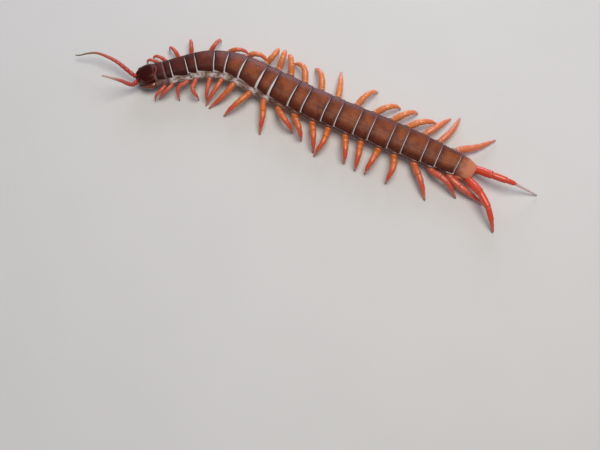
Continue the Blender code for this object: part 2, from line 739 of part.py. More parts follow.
def leg_rings(pair, side):
    """Rings of one leg: a waist at each joint, a bulge in the first long article, a flat foot."""
    joints, directions, radii = leg_joints(pair, side)
    acrosses = [level_across(direction) for direction in directions]
    rings = [tube_ring(joints[0], directions[0], acrosses[0], radii[0], LEG_SIDES)]
    for index in range(1, len(joints) - 1):
        square = (directions[index - 1] + directions[index]).normalized()
        across = (acrosses[index - 1] + acrosses[index]).normalized()
        half = JOINT_HALF_WIDTH * radii[index]
        before = joints[index] - directions[index - 1] * half
        after = joints[index] + directions[index] * half
        rings.append(tube_ring(before, square, across, radii[index - 1] * (1.0 + NECK) / 2.0, LEG_SIDES))
        rings.append(tube_ring(after, square, across, radii[index] * NECK, LEG_SIDES))
        if index == 1:
            middle = joints[1].lerp(joints[2], BULGE_PLACE)
            rings.append(tube_ring(middle, directions[1], acrosses[1], radii[1] * BULGE, LEG_SIDES))
    foot = Vector((joints[-1].x, joints[-1].y, 0.0))
    rings.append(tube_ring(foot, -UP, acrosses[-1], CLAW_TIP_RADIUS, LEG_SIDES))
    return rings


def leg_spines(pair, side):
    """Small spines on the first long article of a last leg."""
    joints, directions, radii = leg_joints(pair, side)
    along = directions[1]
    across = level_across(along)
    over = along.cross(across)
    spines = []
    for share, turn in LEG_SPINES:
        angle = math.radians(turn)
        out = across * math.cos(angle) * side + over * math.sin(angle)
        root = joints[1].lerp(joints[2], share) + out * radii[1] * LEG_SPINE_ROOT
        length = LEG_SPINE_LENGTH + radii[1] * (1.0 - LEG_SPINE_ROOT)
        spine = cone(root, out + along * LEG_SPINE_LEAN, LEG_SPINE_RADIUS, length, LEG_SPINE_SIDES)
        spines.append(make_object("spine", spine, "ultimate"))
    return spines


def make_legs(trunk_cutter):
    """Forty-two legs, each cut clear of the trunk that it grows from."""
    for pair in range(1, LAST + 2):
        finish = "ultimate" if pair == LAST + 1 else "leg"
        for side in (LEFT, RIGHT):
            leg = make_object(f"leg_{SIDE_NAMES[side]}_{pair:02d}", loft(leg_rings(pair, side)), finish)
            if pair == LAST + 1:
                fuse(leg, leg_spines(pair, side))
                cut(leg, [make_cutter("coxa_spine_cutter", coxa_spine(side, GAP))])
            apply_boolean(leg, "DIFFERENCE", trunk_cutter)


for existing in list(bpy.data.objects):
    bpy.data.objects.remove(existing)
MATERIALS = {name: make_material(name, colour, roughness) for name, (colour, roughness) in FINISHES.items()}
TRUNK_CUTTER = make_trunk_cutter()
make_trunk()
make_head(TRUNK_CUTTER)
make_legs(TRUNK_CUTTER)
bpy.data.objects.remove(TRUNK_CUTTER)
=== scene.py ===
"""Giant centipede, life size: the finished look of the still model, built over its solids.

The animal faces -X and its left side is towards -Y. Shapes are worked out in millimetres, and MM
turns them into metres when a piece is made. The path of the trunk, the outline of the head and the
pose of each leg come from the same named sizes as the solids.
"""

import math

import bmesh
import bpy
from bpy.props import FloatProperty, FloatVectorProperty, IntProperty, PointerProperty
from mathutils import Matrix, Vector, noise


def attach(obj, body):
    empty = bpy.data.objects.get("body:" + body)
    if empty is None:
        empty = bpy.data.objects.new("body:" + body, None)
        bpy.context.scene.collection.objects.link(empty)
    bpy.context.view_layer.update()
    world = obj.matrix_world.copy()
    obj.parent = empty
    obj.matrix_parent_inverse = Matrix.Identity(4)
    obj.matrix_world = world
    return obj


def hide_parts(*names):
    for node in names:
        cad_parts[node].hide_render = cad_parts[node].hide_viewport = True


bl_info = {
    "name": "Giant centipede",
    "version": (1, 0, 0),
    "blender": (4, 5, 0),
    "location": "3D View > Sidebar > Centipede",
    "description": "Builds the plates, skin, head, legs and stage of a life-size giant centipede",
    "category": "Add Mesh",
}

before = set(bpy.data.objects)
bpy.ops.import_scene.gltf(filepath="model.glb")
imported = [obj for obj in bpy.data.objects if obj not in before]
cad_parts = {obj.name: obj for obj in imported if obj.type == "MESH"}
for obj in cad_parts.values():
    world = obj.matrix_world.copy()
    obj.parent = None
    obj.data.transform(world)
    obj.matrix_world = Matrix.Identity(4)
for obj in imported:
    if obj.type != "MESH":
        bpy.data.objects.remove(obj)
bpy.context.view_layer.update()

MM = 0.001
WELD = 0.0005
UP = Vector((0.0, 0.0, 1.0))
RIGHTWARD = Vector((0.0, 1.0, 0.0))
LEFT = -1
RIGHT = 1
SIDES = (LEFT, RIGHT)
SIDE_NAMES = {LEFT: "left", RIGHT: "right"}
BODY = "root"

# Trunk: the plates of the back, from the first behind the head to the last
PLATE_LENGTHS = (4.6, 3.4, 7.7, 4.8, 9.2, 6.2, 8.4, 10.6, 7.2, 11.0, 7.1,
                 10.6, 6.9, 10.0, 7.4, 10.2, 7.0, 10.2, 7.1, 9.9, 9.0)
PLATE_WIDTHS = (11.2, 11.4, 12.0, 12.4, 13.2, 13.6, 14.4, 15.2, 15.4, 15.8, 15.6,
                15.8, 15.5, 15.5, 15.3, 15.4, 15.0, 14.6, 13.7, 12.1, 10.6)
PLATES_PER_LENGTH = 3
STARTS = tuple(sum(PLATE_LENGTHS[:index]) for index in range(len(PLATE_LENGTHS) + 1))
MIDDLES = tuple((start + end) / 2.0 for start, end in zip(STARTS, STARTS[1:]))
TRUNK_LENGTH = STARTS[-1]
LAST = len(PLATE_LENGTHS) - 1

# Path of the trunk over the floor: where the head ends, and how its heading turns
PATH_START = (-71.93, 28.98)
FIRST_HEADING = 14.5
BEND = -43.5
BEND_FROM = 13.0
BEND_OVER = 40.0
EASE = 4.5
EASE_FROM = 66.0
EASE_OVER = 30.0
TAIL_BEND = -12.0
TAIL_BEND_FROM = 155.0
TAIL_BEND_OVER = 12.0
PATH_STEP = 0.25
PATH_END = 180.0

# Roll of the front of the body, which lifts its left side
ROLL = 15.0
ROLL_HOLDS_TO = 30.0
ROLL_FADES_OVER = 45.0
ROLL_AXIS_HEIGHT = 4.5

# Cross-section of the trunk
BELLY_HEIGHT = 2.6
BODY_HEIGHT = 8.4
THIN_FRONT = 1.2
THIN_FRONT_OVER = 30.0
THIN_REAR = 1.9
THIN_REAR_FROM = 125.0
THIN_REAR_OVER = 40.0
FRONT_SWELL = {LEFT: 2.6, RIGHT: 1.1}
REAR_SWELL = 0.2
SWELL_HOLDS_TO = 45.0
SWELL_FADES_OVER = 55.0

# Rounded rear end of the trunk: (before the end, half width, back height, belly height)
REAR_END = ((6.0, 5.3, 9.3, 2.9), (3.2, 5.0, 9.0, 3.0), (1.5, 4.4, 8.5, 3.3), (0.5, 3.3, 8.0, 3.8),
            (0.0, 2.1, 7.4, 4.5))

# Soft skin's half section: (sideways, up, share of the swell), from the back to the belly
SKIN_OUTLINE = ((0.0, 1.0, 0.0), (0.45, 0.965, 0.0), (0.80, 0.84, 0.0), (0.97, 0.66, 0.0),
                (0.95, 0.58, 0.15), (0.94, 0.46, 0.75), (0.95, 0.34, 1.0), (0.89, 0.18, 0.8),
                (0.76, 0.06, 0.35), (0.55, 0.0, 0.0), (0.0, 0.0, 0.0))
SKIN_HALF_POINTS = 52
SKIN_STEP = 0.42

# Fine form of the back plates: their shape across, rounded corners, sutures and raised margins.
# A crest or a furrow is given as (place, width). A form that fades in, here and further down, is
# given as (start, length) of a ramp, whose length is negative where it fades in backwards.
BACK_FALL = 0.16
SHOULDER_FALL = 0.22
SHOULDER_POWER = 6
FIRST_PLATE_START = 0.2
LAST_PLATE_SHORT = 0.15
FRONT_CORNER = 0.5
REAR_CORNER = 0.9
REAR_CORNER_INSET = 0.8
SUTURE_PLACE = 0.30
SUTURE_WIDTH = 0.012
SUTURE_FROM = (0, 2)
PLATE_COLUMNS = 64
PLATE_ROWS_PER_MM = 2.6
PLATE_ROWS_LEAST = 12
COLUMN_CROWDING = (0.02, 2.5)
ROW_CROWDING = (0.08, 1.8)
EDGE_DROP = 0.26
PLATE_FLARE = 0.32
BEND_FLARE = 0.42
BEND_FLARE_AT = 78.0
BEND_FLARE_OVER = 34.0
BEND_FLARE_ACROSS = (0.0, 0.8)
PLATE_CROWN = 0.06
PLATE_UNEVEN = 0.04
PLATE_UNEVEN_PER_MM = 0.45
LIFT_SPREAD = 12.0
SIDE_RIDGE = 0.07
SIDE_RIDGE_FROM = (5, 6)
SIDE_CREST = (0.35, 0.25)
SIDE_FURROW = (0.85, 0.25)
SIDE_FURROW_SHARE = 0.8
REAR_RIDGE = 0.05
REAR_CREST = (0.35, 0.3)
REAR_FURROW = (0.95, 0.35)

# Soft lines between the back plates, which the bend opens on the left
BEND_OPENING = 0.72
BEND_OPENING_AT = 56.0
BEND_OPENING_OVER = 15.0
BEND_OPENING_ACROSS = (-0.6, 1.2)
LINE_WIDER_LEFT = 0.14
LINE_LEFT_END = (0.5, 0.5)
LINE_FINER_RIGHT = 0.45
LINE_RIGHT_END = (0.2, 0.8)
LINE_FINER_FRONT = 0.6
LINE_FRONT = (15.0, 35.0)
LINE_FRONT_ACROSS = (-0.5, 1.2)
LINE_FINER_REAR = 0.25
LINE_REAR = (90.0, 40.0)
LINE_EVENS_OUT = 0.6

# Belly plates
BELLY_COLUMNS = 24
BELLY_ROWS_PER_MM = 1.5
BELLY_ROWS_LEAST = 7
BELLY_COLUMN_CROWDING = (0.05, 1.5)
BELLY_ROW_CROWDING = (0.08, 1.5)
BELLY_SHARE = 0.60
BELLY_GAP = 0.45
BELLY_CORNER = 1.2
BELLY_EDGE = 0.4
BELLY_EDGE_DROP = 0.2
BELLY_STAND_OFF = 0.12
BELLY_FURROW_DEPTH = 0.14
BELLY_FURROW = (0.42, 0.07)
BELLY_ROUNDING = 0.35

# Soft skin: where its rows start and end, how far it lies below the plates and in their joints,
# and its collars round the legs
SKIN_STARTS = (-1.2, -0.8)
SKIN_ROWS_END = 0.3
SKIN_END = 0.25
FLANK_CROWDING = (0.12, 1.6)
FLANK_DENSE = (0.46, 0.60)
FLANK_TOP = (0.66, -0.10)
FLANK_FOOT = (0.02, 0.14)
BACK_FROM = (0.60, 0.08)
UNDER_FROM = (0.16, -0.12)
SKIN_SUNK = 0.50
SKIN_IN_JOINT = 0.27
JOINT_RISE_WIDTH = 0.55
PINCH_WIDTH = 0.9
PINCH_DEPTH = 0.25
PINCH_NARROWING = 0.12
LEG_COLLAR_RADIUS = 1.27
LEG_COLLAR_RISE = 0.40
LEG_HOOD_RISE = 0.50
LEG_HOOD_FROM = (0.34, 0.14)
LEG_COLLAR_FADE = (-0.15, 0.85)
# Painted shade round each leg root, as (place, width) beyond its collar
LEG_ROOT_SHADE = (-0.45, 0.25)
SMOOTH_UNDER_COLLAR = 0.9
COARSE_LUMPS = (0.4, 0.8)
FINE_LUMPS = (0.15, 2.3)
PUSH_UPWARDS = 0.35
FOLD_STRENGTH_REAR = 0.45
FOLD_STRENGTH_GAIN = 0.55
FOLDS_FADE = (60.0, 60.0)
JOINT_FLARE_WIDTH = 2.4
JOINT_FLARES_FADE = (55.0, 30.0)

# Long and slanting folds of the flanks: (rate along, slant, rate up, change between the sides,
# layer of the noise, sharpness, share of the depth)
FOLDS = ((0.20, 0.0, 7.5, 3.0, 4.0, 3.4, 1.0), (0.55, 5.0, 3.0, -2.0, 9.0, 4.2, 0.6))

# Breathing holes: the segments that have them, and (radius, rise, depth of shade) of their rings
SPIRACLE_SEGMENTS = (3, 5, 8, 10, 12, 14, 16, 18, 20)
SPIRACLE_RINGS = ((1.15, -0.30, 0.3), (1.05, 0.02, 0.2), (0.90, 0.12, 0.1), (0.72, 0.06, 0.6),
                  (0.55, -0.12, 1.0))
SPIRACLE_HALF_LENGTH = 0.58
SPIRACLE_HALF_HEIGHT = 0.27
SPIRACLE_LEVEL = 0.47
SPIRACLE_STAND_OFF = 0.10
SPIRACLE_SIDES = 14
FLANK_LEVEL = 0.36
FLANK_REACH = 0.95

# Hip lobes under the last plate: (before the end, sideways, height, radius); the point past the
# end that their spines stand on, and the spines: (rise, lean)
LOBE_RINGS = ((9.0, 4.4, 4.6, 0.6), (8.0, 4.5, 4.6, 1.4), (6.0, 4.4, 4.7, 2.0), (4.0, 3.7, 4.7, 2.05),
              (2.4, 3.0, 4.5, 1.6), (1.2, 2.4, 4.2, 1.1), (0.0, 1.95, 3.9, 0.72), (-0.7, 1.75, 3.75, 0.4),
              (-1.05, 1.7, 3.7, 0.15))
LOBE_SIDES = 18
LOBE_POINT = (0.4, 1.75, 3.75)
LOBE_SPINES = ((0.2, 0.9), (-0.4, 0.5), (0.5, -0.6))
LOBE_SPINE_SPREAD = (0.2, 0.3)
LOBE_SPINE_LEAN = 0.5
LOBE_SPINE_RADIUS = 0.14
LOBE_SPINE_LENGTH = 0.75

# Head plate: (forward, half width, back height, edge height), and its half section as shares of
# the half width and of the height over and under the edge
HEAD_RINGS = (
    (0.15, 4.7, 10.0, 7.3), (1.4, 5.1, 10.2, 7.3), (3.4, 5.4, 10.1, 7.2), (5.4, 5.3, 9.7, 7.0),
    (7.3, 4.7, 9.0, 6.7), (8.8, 3.6, 8.2, 6.4), (9.7, 2.3, 7.5, 6.2), (10.1, 1.2, 7.0, 6.1),
)
HEAD_OUTLINE = ((0.0, 1.0), (0.28, 0.975), (0.52, 0.915), (0.72, 0.79), (0.87, 0.57), (0.97, 0.27),
                (1.0, 0.02), (0.965, -0.35), (0.90, -0.75), (0.76, -1.0), (0.5, -1.0), (0.0, -1.0))
HEAD_UNDERSIDE = 5.0
HEAD_HALF_POINTS = 40
HEAD_ROWS = 48
HEAD_ROWS_DENSE = (0.0, 0.93)
HEAD_ROW_CROWDING = (0.05, 2.2)
HEAD_BACK_EDGE = 0.9
HEAD_BACK_POWER = 2.2
HEAD_FRONT_CENTRE = 0.4
HEAD_ABOVE = (0.0, 0.3)
HEAD_SIDE_WARMTH = 0.7
HEAD_FRONT_WARMTH = 0.6
HEAD_FRONT_FROM = (5.0, 6.0)
HEAD_GLOW_FADES = (0.5, 3.0)
LIFT_WIDENS = 0.12

# Relief of the head plate: the height of each form, and (place, width) of its crest or furrow
RIM_CREST_HEIGHT = 0.10
RIM_CREST = (0.30, 0.28)
RIM_FURROW_DEPTH = 0.07
RIM_FURROW = (0.85, 0.30)
RIM_ROLL = 0.42
# Place and width of the painted highlight along the rim
RIM_HIGHLIGHT = (0.22, 0.36)
MIDLINE_DEPTH = 0.07
MIDLINE_WIDTH = 0.16
MIDLINE_FADES = (8.2, -1.5)
HEAD_SUTURE_DEPTH = 0.05
HEAD_SUTURE_WIDTH = 0.22
HEAD_SUTURE_PLACE = 1.7
HEAD_SUTURE_SPREADS = 0.22
HEAD_SUTURE_FADES = (6.0, -2.0)
BROW_DIP = 0.35
BROW_DIP_WIDTH = 0.9
BROW_DIP_PLACE = (9.4, 1.1)
BROW_BULGE = 0.22
BROW_BULGE_PLACE = (1.9, 0.8)
BROW_BULGE_FORWARD = (8.3, 1.0)
HEAD_UNEVEN = 0.03
HEAD_UNEVEN_PER_MM = 0.6

# Eyes: four lenses in a rhombus on each front corner of the head
EYE_PLACE = (7.1, 4.3, 7.35)
EYE_FACING = (0.30, 0.80, 0.52)
EYE_CUSHION = (1.05, 0.95, 0.55)
LENS_SPREAD = 0.55
LENS_RHOMBUS = 0.9
LENS_RISE = 0.30
LENS_STEPS = ((1, 0), (-1, 0), (0, 1), (0, -1))
LENS_RIM = (1.22, 1.22, 0.62)
CUSHION_FACETS = (28, 16)
LENS_RIM_FACETS = (18, 10)
LENS_FACETS = (20, 12)

# Plate under the head that carries the venom claws: (forward, half width), its half section as
# shares of the width and the height, and its teeth
COLLAR_RINGS = ((-0.6, 3.9), (0.15, 3.8), (2.2, 3.6), (4.4, 2.9), (5.8, 2.2), (6.4, 1.7))
COLLAR_OUTLINE = ((0.0, 1.0), (0.55, 0.97), (0.92, 0.80), (1.0, 0.5), (0.93, 0.18), (0.62, 0.02),
                  (0.0, 0.0))
COLLAR_HALF_POINTS = 16
COLLAR_ROWS = 26
COLLAR_TOP = 4.7
COLLAR_BOTTOM = 2.3
CARRIER_MIDRIB = 0.16
CARRIER_MIDRIB_WIDTH = 0.25
CARRIER_SEAM = 0.6
CARRIER_SEAM_WIDTH = 0.12
TEETH = 5
FIRST_TOOTH = (6.25, 0.35, 3.3)
TOOTH_SPACING = 0.30
TOOTH_STEP_BACK = 0.05
TOOTH_FAN = 0.12
TOOTH_RADIUS = 0.2
TOOTH_LENGTH = 0.62

# Venom claws: (forward, sideways, height, radius) along the curve of each
VENOM_CLAW = (
    (-0.4, 3.7, 3.7, 1.20), (2.4, 5.0, 3.8, 1.55), (4.6, 5.2, 3.7, 1.50), (6.2, 4.6, 3.6, 1.20),
    (7.2, 4.0, 3.5, 1.05), (8.4, 3.0, 3.4, 0.80), (9.3, 1.9, 3.3, 0.52), (9.8, 0.8, 3.2, 0.27),
)
VENOM_STEPS = 72
VENOM_SIDES = 24
VENOM_JOINTS = ((0.47, 0.012), (0.575, 0.010), (0.645, 0.010))
VENOM_WAIST = 0.16
FANG_FROM = 0.80
FANG_OVER = 0.22
FANG_THINNING = 0.82
FANG_TOOTH = (5.6, 3.9, 3.6)
FANG_TOOTH_LEAN = 0.5
FANG_TOOTH_RADIUS = 0.45
FANG_TOOTH_LENGTH = 1.3
FANG_TOOTH_SIDES = 10

# Antennae: (forward, sideways, height) of the points that each one passes
ANTENNA_POINTS = {
    LEFT: ((8.2, -1.5, 6.7), (10.2, -1.8, 6.3), (12.0, -2.7, 6.2), (14.2, -2.5, 7.8), (16.6, -1.8, 10.6),
           (19.3, -1.4, 13.4), (22.1, -0.9, 15.9), (24.6, -0.5, 17.8)),
    RIGHT: ((8.2, 1.2, 6.6), (10.4, 2.0, 6.2), (13.2, 5.5, 6.8), (17.1, 10.5, 7.9), (21.3, 14.3, 8.5),
            (25.9, 17.8, 8.0), (30.5, 19.6, 6.6), (34.8, 20.6, 5.0), (37.2, 21.6, 4.3)),
}
ANTENNA_ARTICLES = 17
ANTENNA_SIDES = 16
ANTENNA_RADII = {
    LEFT: ((0.0, 1.12), (0.25, 1.10), (0.45, 0.98), (0.60, 0.82), (0.80, 0.66), (1.0, 0.52)),
    RIGHT: ((0.0, 1.12), (0.25, 1.10), (0.45, 0.94), (0.60, 0.70), (0.80, 0.48), (1.0, 0.34)),
}
ANTENNA_ARTICLE_SHRINK = 0.96

# Shape of one antenna article: (share of its length, share of its radius, how deep in the groove)
ANTENNA_ARTICLE = ((0.03, 0.80, 1.0), (0.10, 0.88, 0.4), (0.25, 0.95, 0.0), (0.55, 1.0, 0.0),
                   (0.80, 1.03, 0.0), (0.93, 0.99, 0.15), (0.985, 0.88, 0.8))
ANTENNA_TIP_ROUNDS = 0.98
ANTENNA_TIP_LEAST = 0.02

# Legs: length and radius of each article of a middle leg and of a last leg
COXA_LENGTH = 2.3
COXA_RADIUS = 1.50
COXA_BURIED = 1.0
WALKING_ARTICLES = ((4.6, 1.45), (3.7, 1.25), (3.6, 1.05), (2.6, 0.68), (1.6, 0.46))
ULTIMATE_ARTICLES = {
    LEFT: ((9.8, 1.85), (8.0, 1.55), (6.6, 1.28), (3.8, 0.88), (2.1, 0.60)),
    RIGHT: ((9.0, 1.85), (7.0, 1.50), (4.2, 1.15), (8.8, 0.60), (5.0, 0.42)),
}
ULTIMATE_COXA_LENGTH = 0.9
ULTIMATE_COXA_RADIUS = 1.8
CLAW_LENGTH = 1.1
CLAW_SLOPE = 60.0
ARTICLE_DROP = (0.0, 0.36, 0.74, 0.97, 1.0)
ARTICLE_TURN = (-0.05, 0.45, 1.0, 1.0, 1.0)
COXA_SWING_SHARE = 0.55
MOST_DROP = 175.0
HALVINGS = 40
LEG_BASE_SHARE = 0.66
LEG_BASE_REACH = 0.92
LEG_LEVEL = 0.32
DRAWN_BASES = {
    LEFT: {3: 0.84, 5: 0.74, 6: 0.88, 7: 0.90, 8: 0.86, 9: 0.90, 18: 0.74, 19: 0.76, 20: 0.80},
    RIGHT: {7: 0.72, 8: 0.70, 9: 0.60, 10: 0.40, 11: 0.22, 12: 0.37, 13: 0.37, 14: 0.55},
}
ULTIMATE_BASE = 1.8
ULTIMATE_SPREAD = 3.0
ULTIMATE_BASE_HEIGHT = 5.2
LEG_SIZES = (0.62, 0.66, 0.71, 0.76, 0.78, 0.86, 0.94, 0.98, 1.0, 1.0, 1.0,
             1.0, 1.0, 1.0, 1.0, 1.02, 1.04, 1.07, 1.11, 1.22, 1.0)
LEG_GIRTHS = (1.0, 1.0, 1.05, 1.05, 1.0, 1.0, 1.08, 1.10, 1.14, 1.14, 1.14,
              1.14, 1.14, 1.14, 1.14, 1.14, 1.12, 1.08, 1.0, 1.0, 1.08)
CORNER_REACH = 1.15
CORNER_SHARE = 0.46
ROOT_RING = 0.6
ROOT_SPAN = 0.2
PINK_FRONT = (4, 4)
PINK_REAR = (17, 2)
REAR_PINK = {LEFT: 1.0, RIGHT: 0.45}
# Painted light: from which pair the right legs are painted brighter, as if lit
PAINTED_LIGHT_FROM = (5, 2)

# Shape of one leg article, and of the short root article with the ring beyond it:
# (share of its length, share of its radius, how deep in the joint's groove)
ARTICLE_SHAPE = ((0.0, 0.88, 1.0), (0.03, 0.93, 0.35), (0.09, 0.96, 0.0), (0.22, 0.99, 0.0),
                 (0.42, 1.03, 0.0), (0.62, 1.05, 0.0), (0.80, 1.04, 0.0), (0.92, 1.05, 0.0),
                 (0.965, 1.03, 0.1), (0.985, 0.94, 0.6))
ROOT_SHAPE = ((-0.10, 0.55, 0.0), (0.02, 0.86, 0.0), (0.20, 1.05, 0.0), (0.42, 1.06, 0.0),
              (0.52, 0.99, 0.3), (0.56, 0.93, 1.0), (0.60, 0.94, 0.5), (0.70, 0.98, 0.0),
              (0.92, 0.98, 0.0), (0.985, 0.90, 0.6))

# Spurs of the feet, and the spines of the last legs: (share of the article, turn round it)
SPURRED_ARTICLES = (3, 4)
LEG_SPINES = ((0.20, 200.0), (0.34, 235.0), (0.45, 262.0), (0.58, 215.0), (0.66, 290.0), (0.78, 245.0),
              (0.50, 320.0), (0.30, 330.0), (0.95, 60.0), (0.96, 85.0))
LEG_SPINE_RADIUS = 0.22
LEG_SPINE_LENGTH = 0.95
LEG_SPINE_LEAN = 0.7
LEG_SPINE_ROOT = 0.82
SPUR_BACK = 0.25
SPUR_LOW = 0.60
SPUR_LEAN = 0.9
SPUR_RADIUS_SHARE = 0.16
SPUR_RADIUS_LEAST = 0.05
SPUR_LENGTH = 0.9
FOOT_TIP_SHARE = 0.5

# Claws of the feet: rings along them, and their shares of the leg's end and of their own length
CLAW_STEPS = 9
CLAW_SIDES = 10
CLAW_GIRTH = 0.62
CLAW_ARCH = 0.62
CLAW_THINNING = 0.75
CLAW_POINT = 0.03
CLAW_BURIED = 0.35
CLAW_BURIED_GIRTH = 0.9
CLAW_FLOOR = 0.02
SIDE_SPINE_SPREAD = 0.7
SIDE_SPINE_LEAN = 0.35
SIDE_SPINE_GIRTH = 0.3
SIDE_SPINE_LENGTH = 0.5
SIDE_SPINE_SIDES = 6

# Shape of a spine: (share of its length, share of its radius)
SPINE_SHAPE = ((0.0, 1.0), (0.25, 0.82), (0.55, 0.52), (0.85, 0.2), (1.0, 0.05))

# Steps in which an uneven row of places is worked out, and steps of smooth curves
FINE_STEPS = 400
CURVE_STEPS = 8
LONG_CURVE_STEPS = 12

# Colours that no setting changes
ANTENNA_GROOVE = (0.13, 0.020, 0.014)
VENOM_GROOVE = (0.10, 0.022, 0.012)
HORN_ROOT = (0.20, 0.045, 0.02)
LENS_CLOUD = (0.030, 0.014, 0.010)

# Pose of each leg, first pair to last: swing near the body, swing of the foot, reach of the
# foot over the floor. A swing is in degrees from straight out, and positive towards the tail.
LEG_POSES = {
    LEFT: ((-62, -78, 7.6), (-65, -85, 9.0), (-80, -5, 9.0), (-30, 55, 8.3), (-12, -22, 9.7),
           (-24, -32, 14.0), (-25, -35, 16.4), (-20, -30, 16.6), (30, 15, 16.4), (55, 75, 13.9),
           (46, 45, 13.0), (30, 25, 14.9), (10, -20, 15.5), (25, 20, 14.0), (15, 10, 14.5),
           (0, -15, 14.0), (20, -10, 14.5), (45, 40, 19.0), (78, 62, 19.0), (74, 84, 22.0),
           (66, 55, 28.4)),
    RIGHT: ((-60, -70, 7.5), (-50, -60, 9.0), (-20, -35, 9.5), (15, -5, 10.0), (50, 25, 11.0),
            (82, 80, 11.8), (78, 86, 11.5), (30, -20, 11.8), (-4, -22, 12.2), (-28, -42, 13.5),
            (-30, -75, 15.0), (-25, -50, 16.0), (-15, -20, 18.0), (20, 30, 16.0), (45, 50, 15.5),
            (45, 40, 16.0), (50, 55, 17.0), (35, 25, 19.0), (25, 5, 20.0), (55, 40, 23.5),
            (84, 69, 32.7)),
}

# Camera: how far it stands from the ground point that it looks at, and that point, in metres
CAMERA_ELEVATION = 73.0
CAMERA_DISTANCE = 0.380
CAMERA_AIM = (-0.00053, -0.04722)
SENSOR_WIDTH = 36.0
CLIP_START = 0.01
CLIP_END = 10.0

# Floor and lights, in metres: (out, up) along the floor's rising edge, and each light's place,
# size and tint
FLOOR_PROFILE = ((0.0, 0.0), (0.9, 0.0), (1.15, 0.03), (1.35, 0.12), (1.5, 0.3), (1.55, 0.6))
FLOOR_STEPS = 96
KEY_LIGHT = ((0.12, 0.07, 0.75), 0.50, (1.0, 0.95, 0.88))
FAR_LIGHT = ((0.05, 0.80, 0.24), 0.45, (0.66, 0.74, 1.0))
SKY_TINT = (0.86, 0.90, 1.0)


def trunk_node(index):
    """Name of the solid that holds a plate."""
    first = index // PLATES_PER_LENGTH * PLATES_PER_LENGTH
    return f"trunk_{first + 1:02d}_{first + PLATES_PER_LENGTH:02d}"


TRUNK_NODES = sorted({trunk_node(index) for index in range(LAST + 1)})


def ramp(value, start, length):
    """A smooth rise from 0 to 1 as the value goes from the start over the length."""
    share = min(max((value - start) / length, 0.0), 1.0)
    return share * share * (3.0 - 2.0 * share)


def bump(offset, width):
    """A smooth hill of height 1 that is about twice the width across."""
    return math.exp(-(offset / width) ** 2)


def hill(value, spot):
    """A smooth hill of height 1 at a spot of (place, width)."""
    where, width = spot
    return bump(value - where, width)


def heading(distance):
    """The trunk's direction towards the tail, in radians, at a distance behind the head."""
    turned = BEND * ramp(distance, BEND_FROM, BEND_OVER) + EASE * ramp(distance, EASE_FROM, EASE_OVER)
    turned += TAIL_BEND * ramp(distance, TAIL_BEND_FROM, TAIL_BEND_OVER)
    return math.radians(FIRST_HEADING + turned)


def walk_path():
    """Points of the trunk's path, one every PATH_STEP, summed from its heading."""
    x, y = PATH_START
    points = [(x, y)]
    for index in range(int(PATH_END / PATH_STEP)):
        angle = heading((index + 0.5) * PATH_STEP)
        x += PATH_STEP * math.cos(angle)
        y += PATH_STEP * math.sin(angle)
        points.append((x, y))
    return points


PATH = walk_path()


def axis_point(distance):
    """The path's point at a distance behind the head; ahead of the head it runs straight on."""
    if distance < 0.0:
        x, y = PATH[0]
        first = heading(0.0)
        return Vector((x + distance * math.cos(first), y + distance * math.sin(first), 0.0))
    index = min(int(distance / PATH_STEP), len(PATH) - 2)
    share = distance / PATH_STEP - index
    start = Vector(PATH[index]).to_3d()
    end = Vector(PATH[index + 1]).to_3d()
    return start.lerp(end, share)


def tailward(distance):
    """Unit vector along the trunk towards the tail."""
    angle = heading(distance)
    return Vector((math.cos(angle), math.sin(angle), 0.0))


def rightward(distance):
    """Unit vector across the trunk towards the animal's right."""
    angle = heading(distance)
    return Vector((-math.sin(angle), math.cos(angle), 0.0))


def place(distance, side, height, level=False):
    """A point beside the path, turned with the body's roll unless it is a level one."""
    held = 1.0 - ramp(distance, ROLL_HOLDS_TO, ROLL_FADES_OVER)
    roll = 0.0 if level else math.radians(ROLL * held)
    above = height - ROLL_AXIS_HEIGHT
    rolled_side = side * math.cos(roll) + above * math.sin(roll)
    rolled_height = ROLL_AXIS_HEIGHT - side * math.sin(roll) + above * math.cos(roll)
    return axis_point(distance) + rightward(distance) * rolled_side + UP * rolled_height


def body_height(distance):
    """Height of the trunk's section, which is thinner at the neck and at the tail."""
    front = THIN_FRONT * (1.0 - ramp(distance, 0.0, THIN_FRONT_OVER))
    rear = THIN_REAR * ramp(distance, THIN_REAR_FROM, THIN_REAR_OVER)
    return BODY_HEIGHT - front - rear


def swell(distance, side):
    """How far the soft flank of a side stands out past the plates."""
    front = FRONT_SWELL[side]
    return front + (REAR_SWELL - front) * ramp(distance, SWELL_HOLDS_TO, SWELL_FADES_OVER)


def read_stops(stops, value):
    """The numbers that follow the first one in each stop, read at a value between the stops."""
    if value <= stops[0][0]:
        return stops[0][1:]
    for start, end in zip(stops, stops[1:]):
        if value <= end[0]:
            share = (value - start[0]) / (end[0] - start[0])
            return tuple(a + (b - a) * share for a, b in zip(start[1:], end[1:]))
    return stops[-1][1:]


WIDTH_STOPS = tuple((middle, width / 2.0) for middle, width in zip(MIDDLES, PLATE_WIDTHS))


def half_width(distance):
    """Half the width of the plates, read between the middles of neighbouring plates."""
    return read_stops(WIDTH_STOPS, distance)[0]


def section(distance):
    """Half width, top and bottom of the trunk, which narrows to a rounded end."""
    plain = (half_width(distance), BELLY_HEIGHT + body_height(distance), BELLY_HEIGHT)
    before_end = TRUNK_LENGTH - distance
    if before_end >= REAR_END[0][0]:
        return plain
    return read_stops(REAR_END[::-1], before_end)


def smooth_curve(points, steps):
    """Points along a smooth curve that passes the given ones."""
    curve = []
    for index in range(len(points) - 1):
        before = points[max(index - 1, 0)]
        start = points[index]
        end = points[index + 1]
        after = points[min(index + 2, len(points) - 1)]
        for step in range(steps):
            t = step / steps
            curve.append(0.5 * (
                2.0 * start + (end - before) * t
                + (2.0 * before - 5.0 * start + 4.0 * end - after) * t ** 2
                + (3.0 * start - before - 3.0 * end + after) * t ** 3))
    curve.append(points[-1])
    return curve


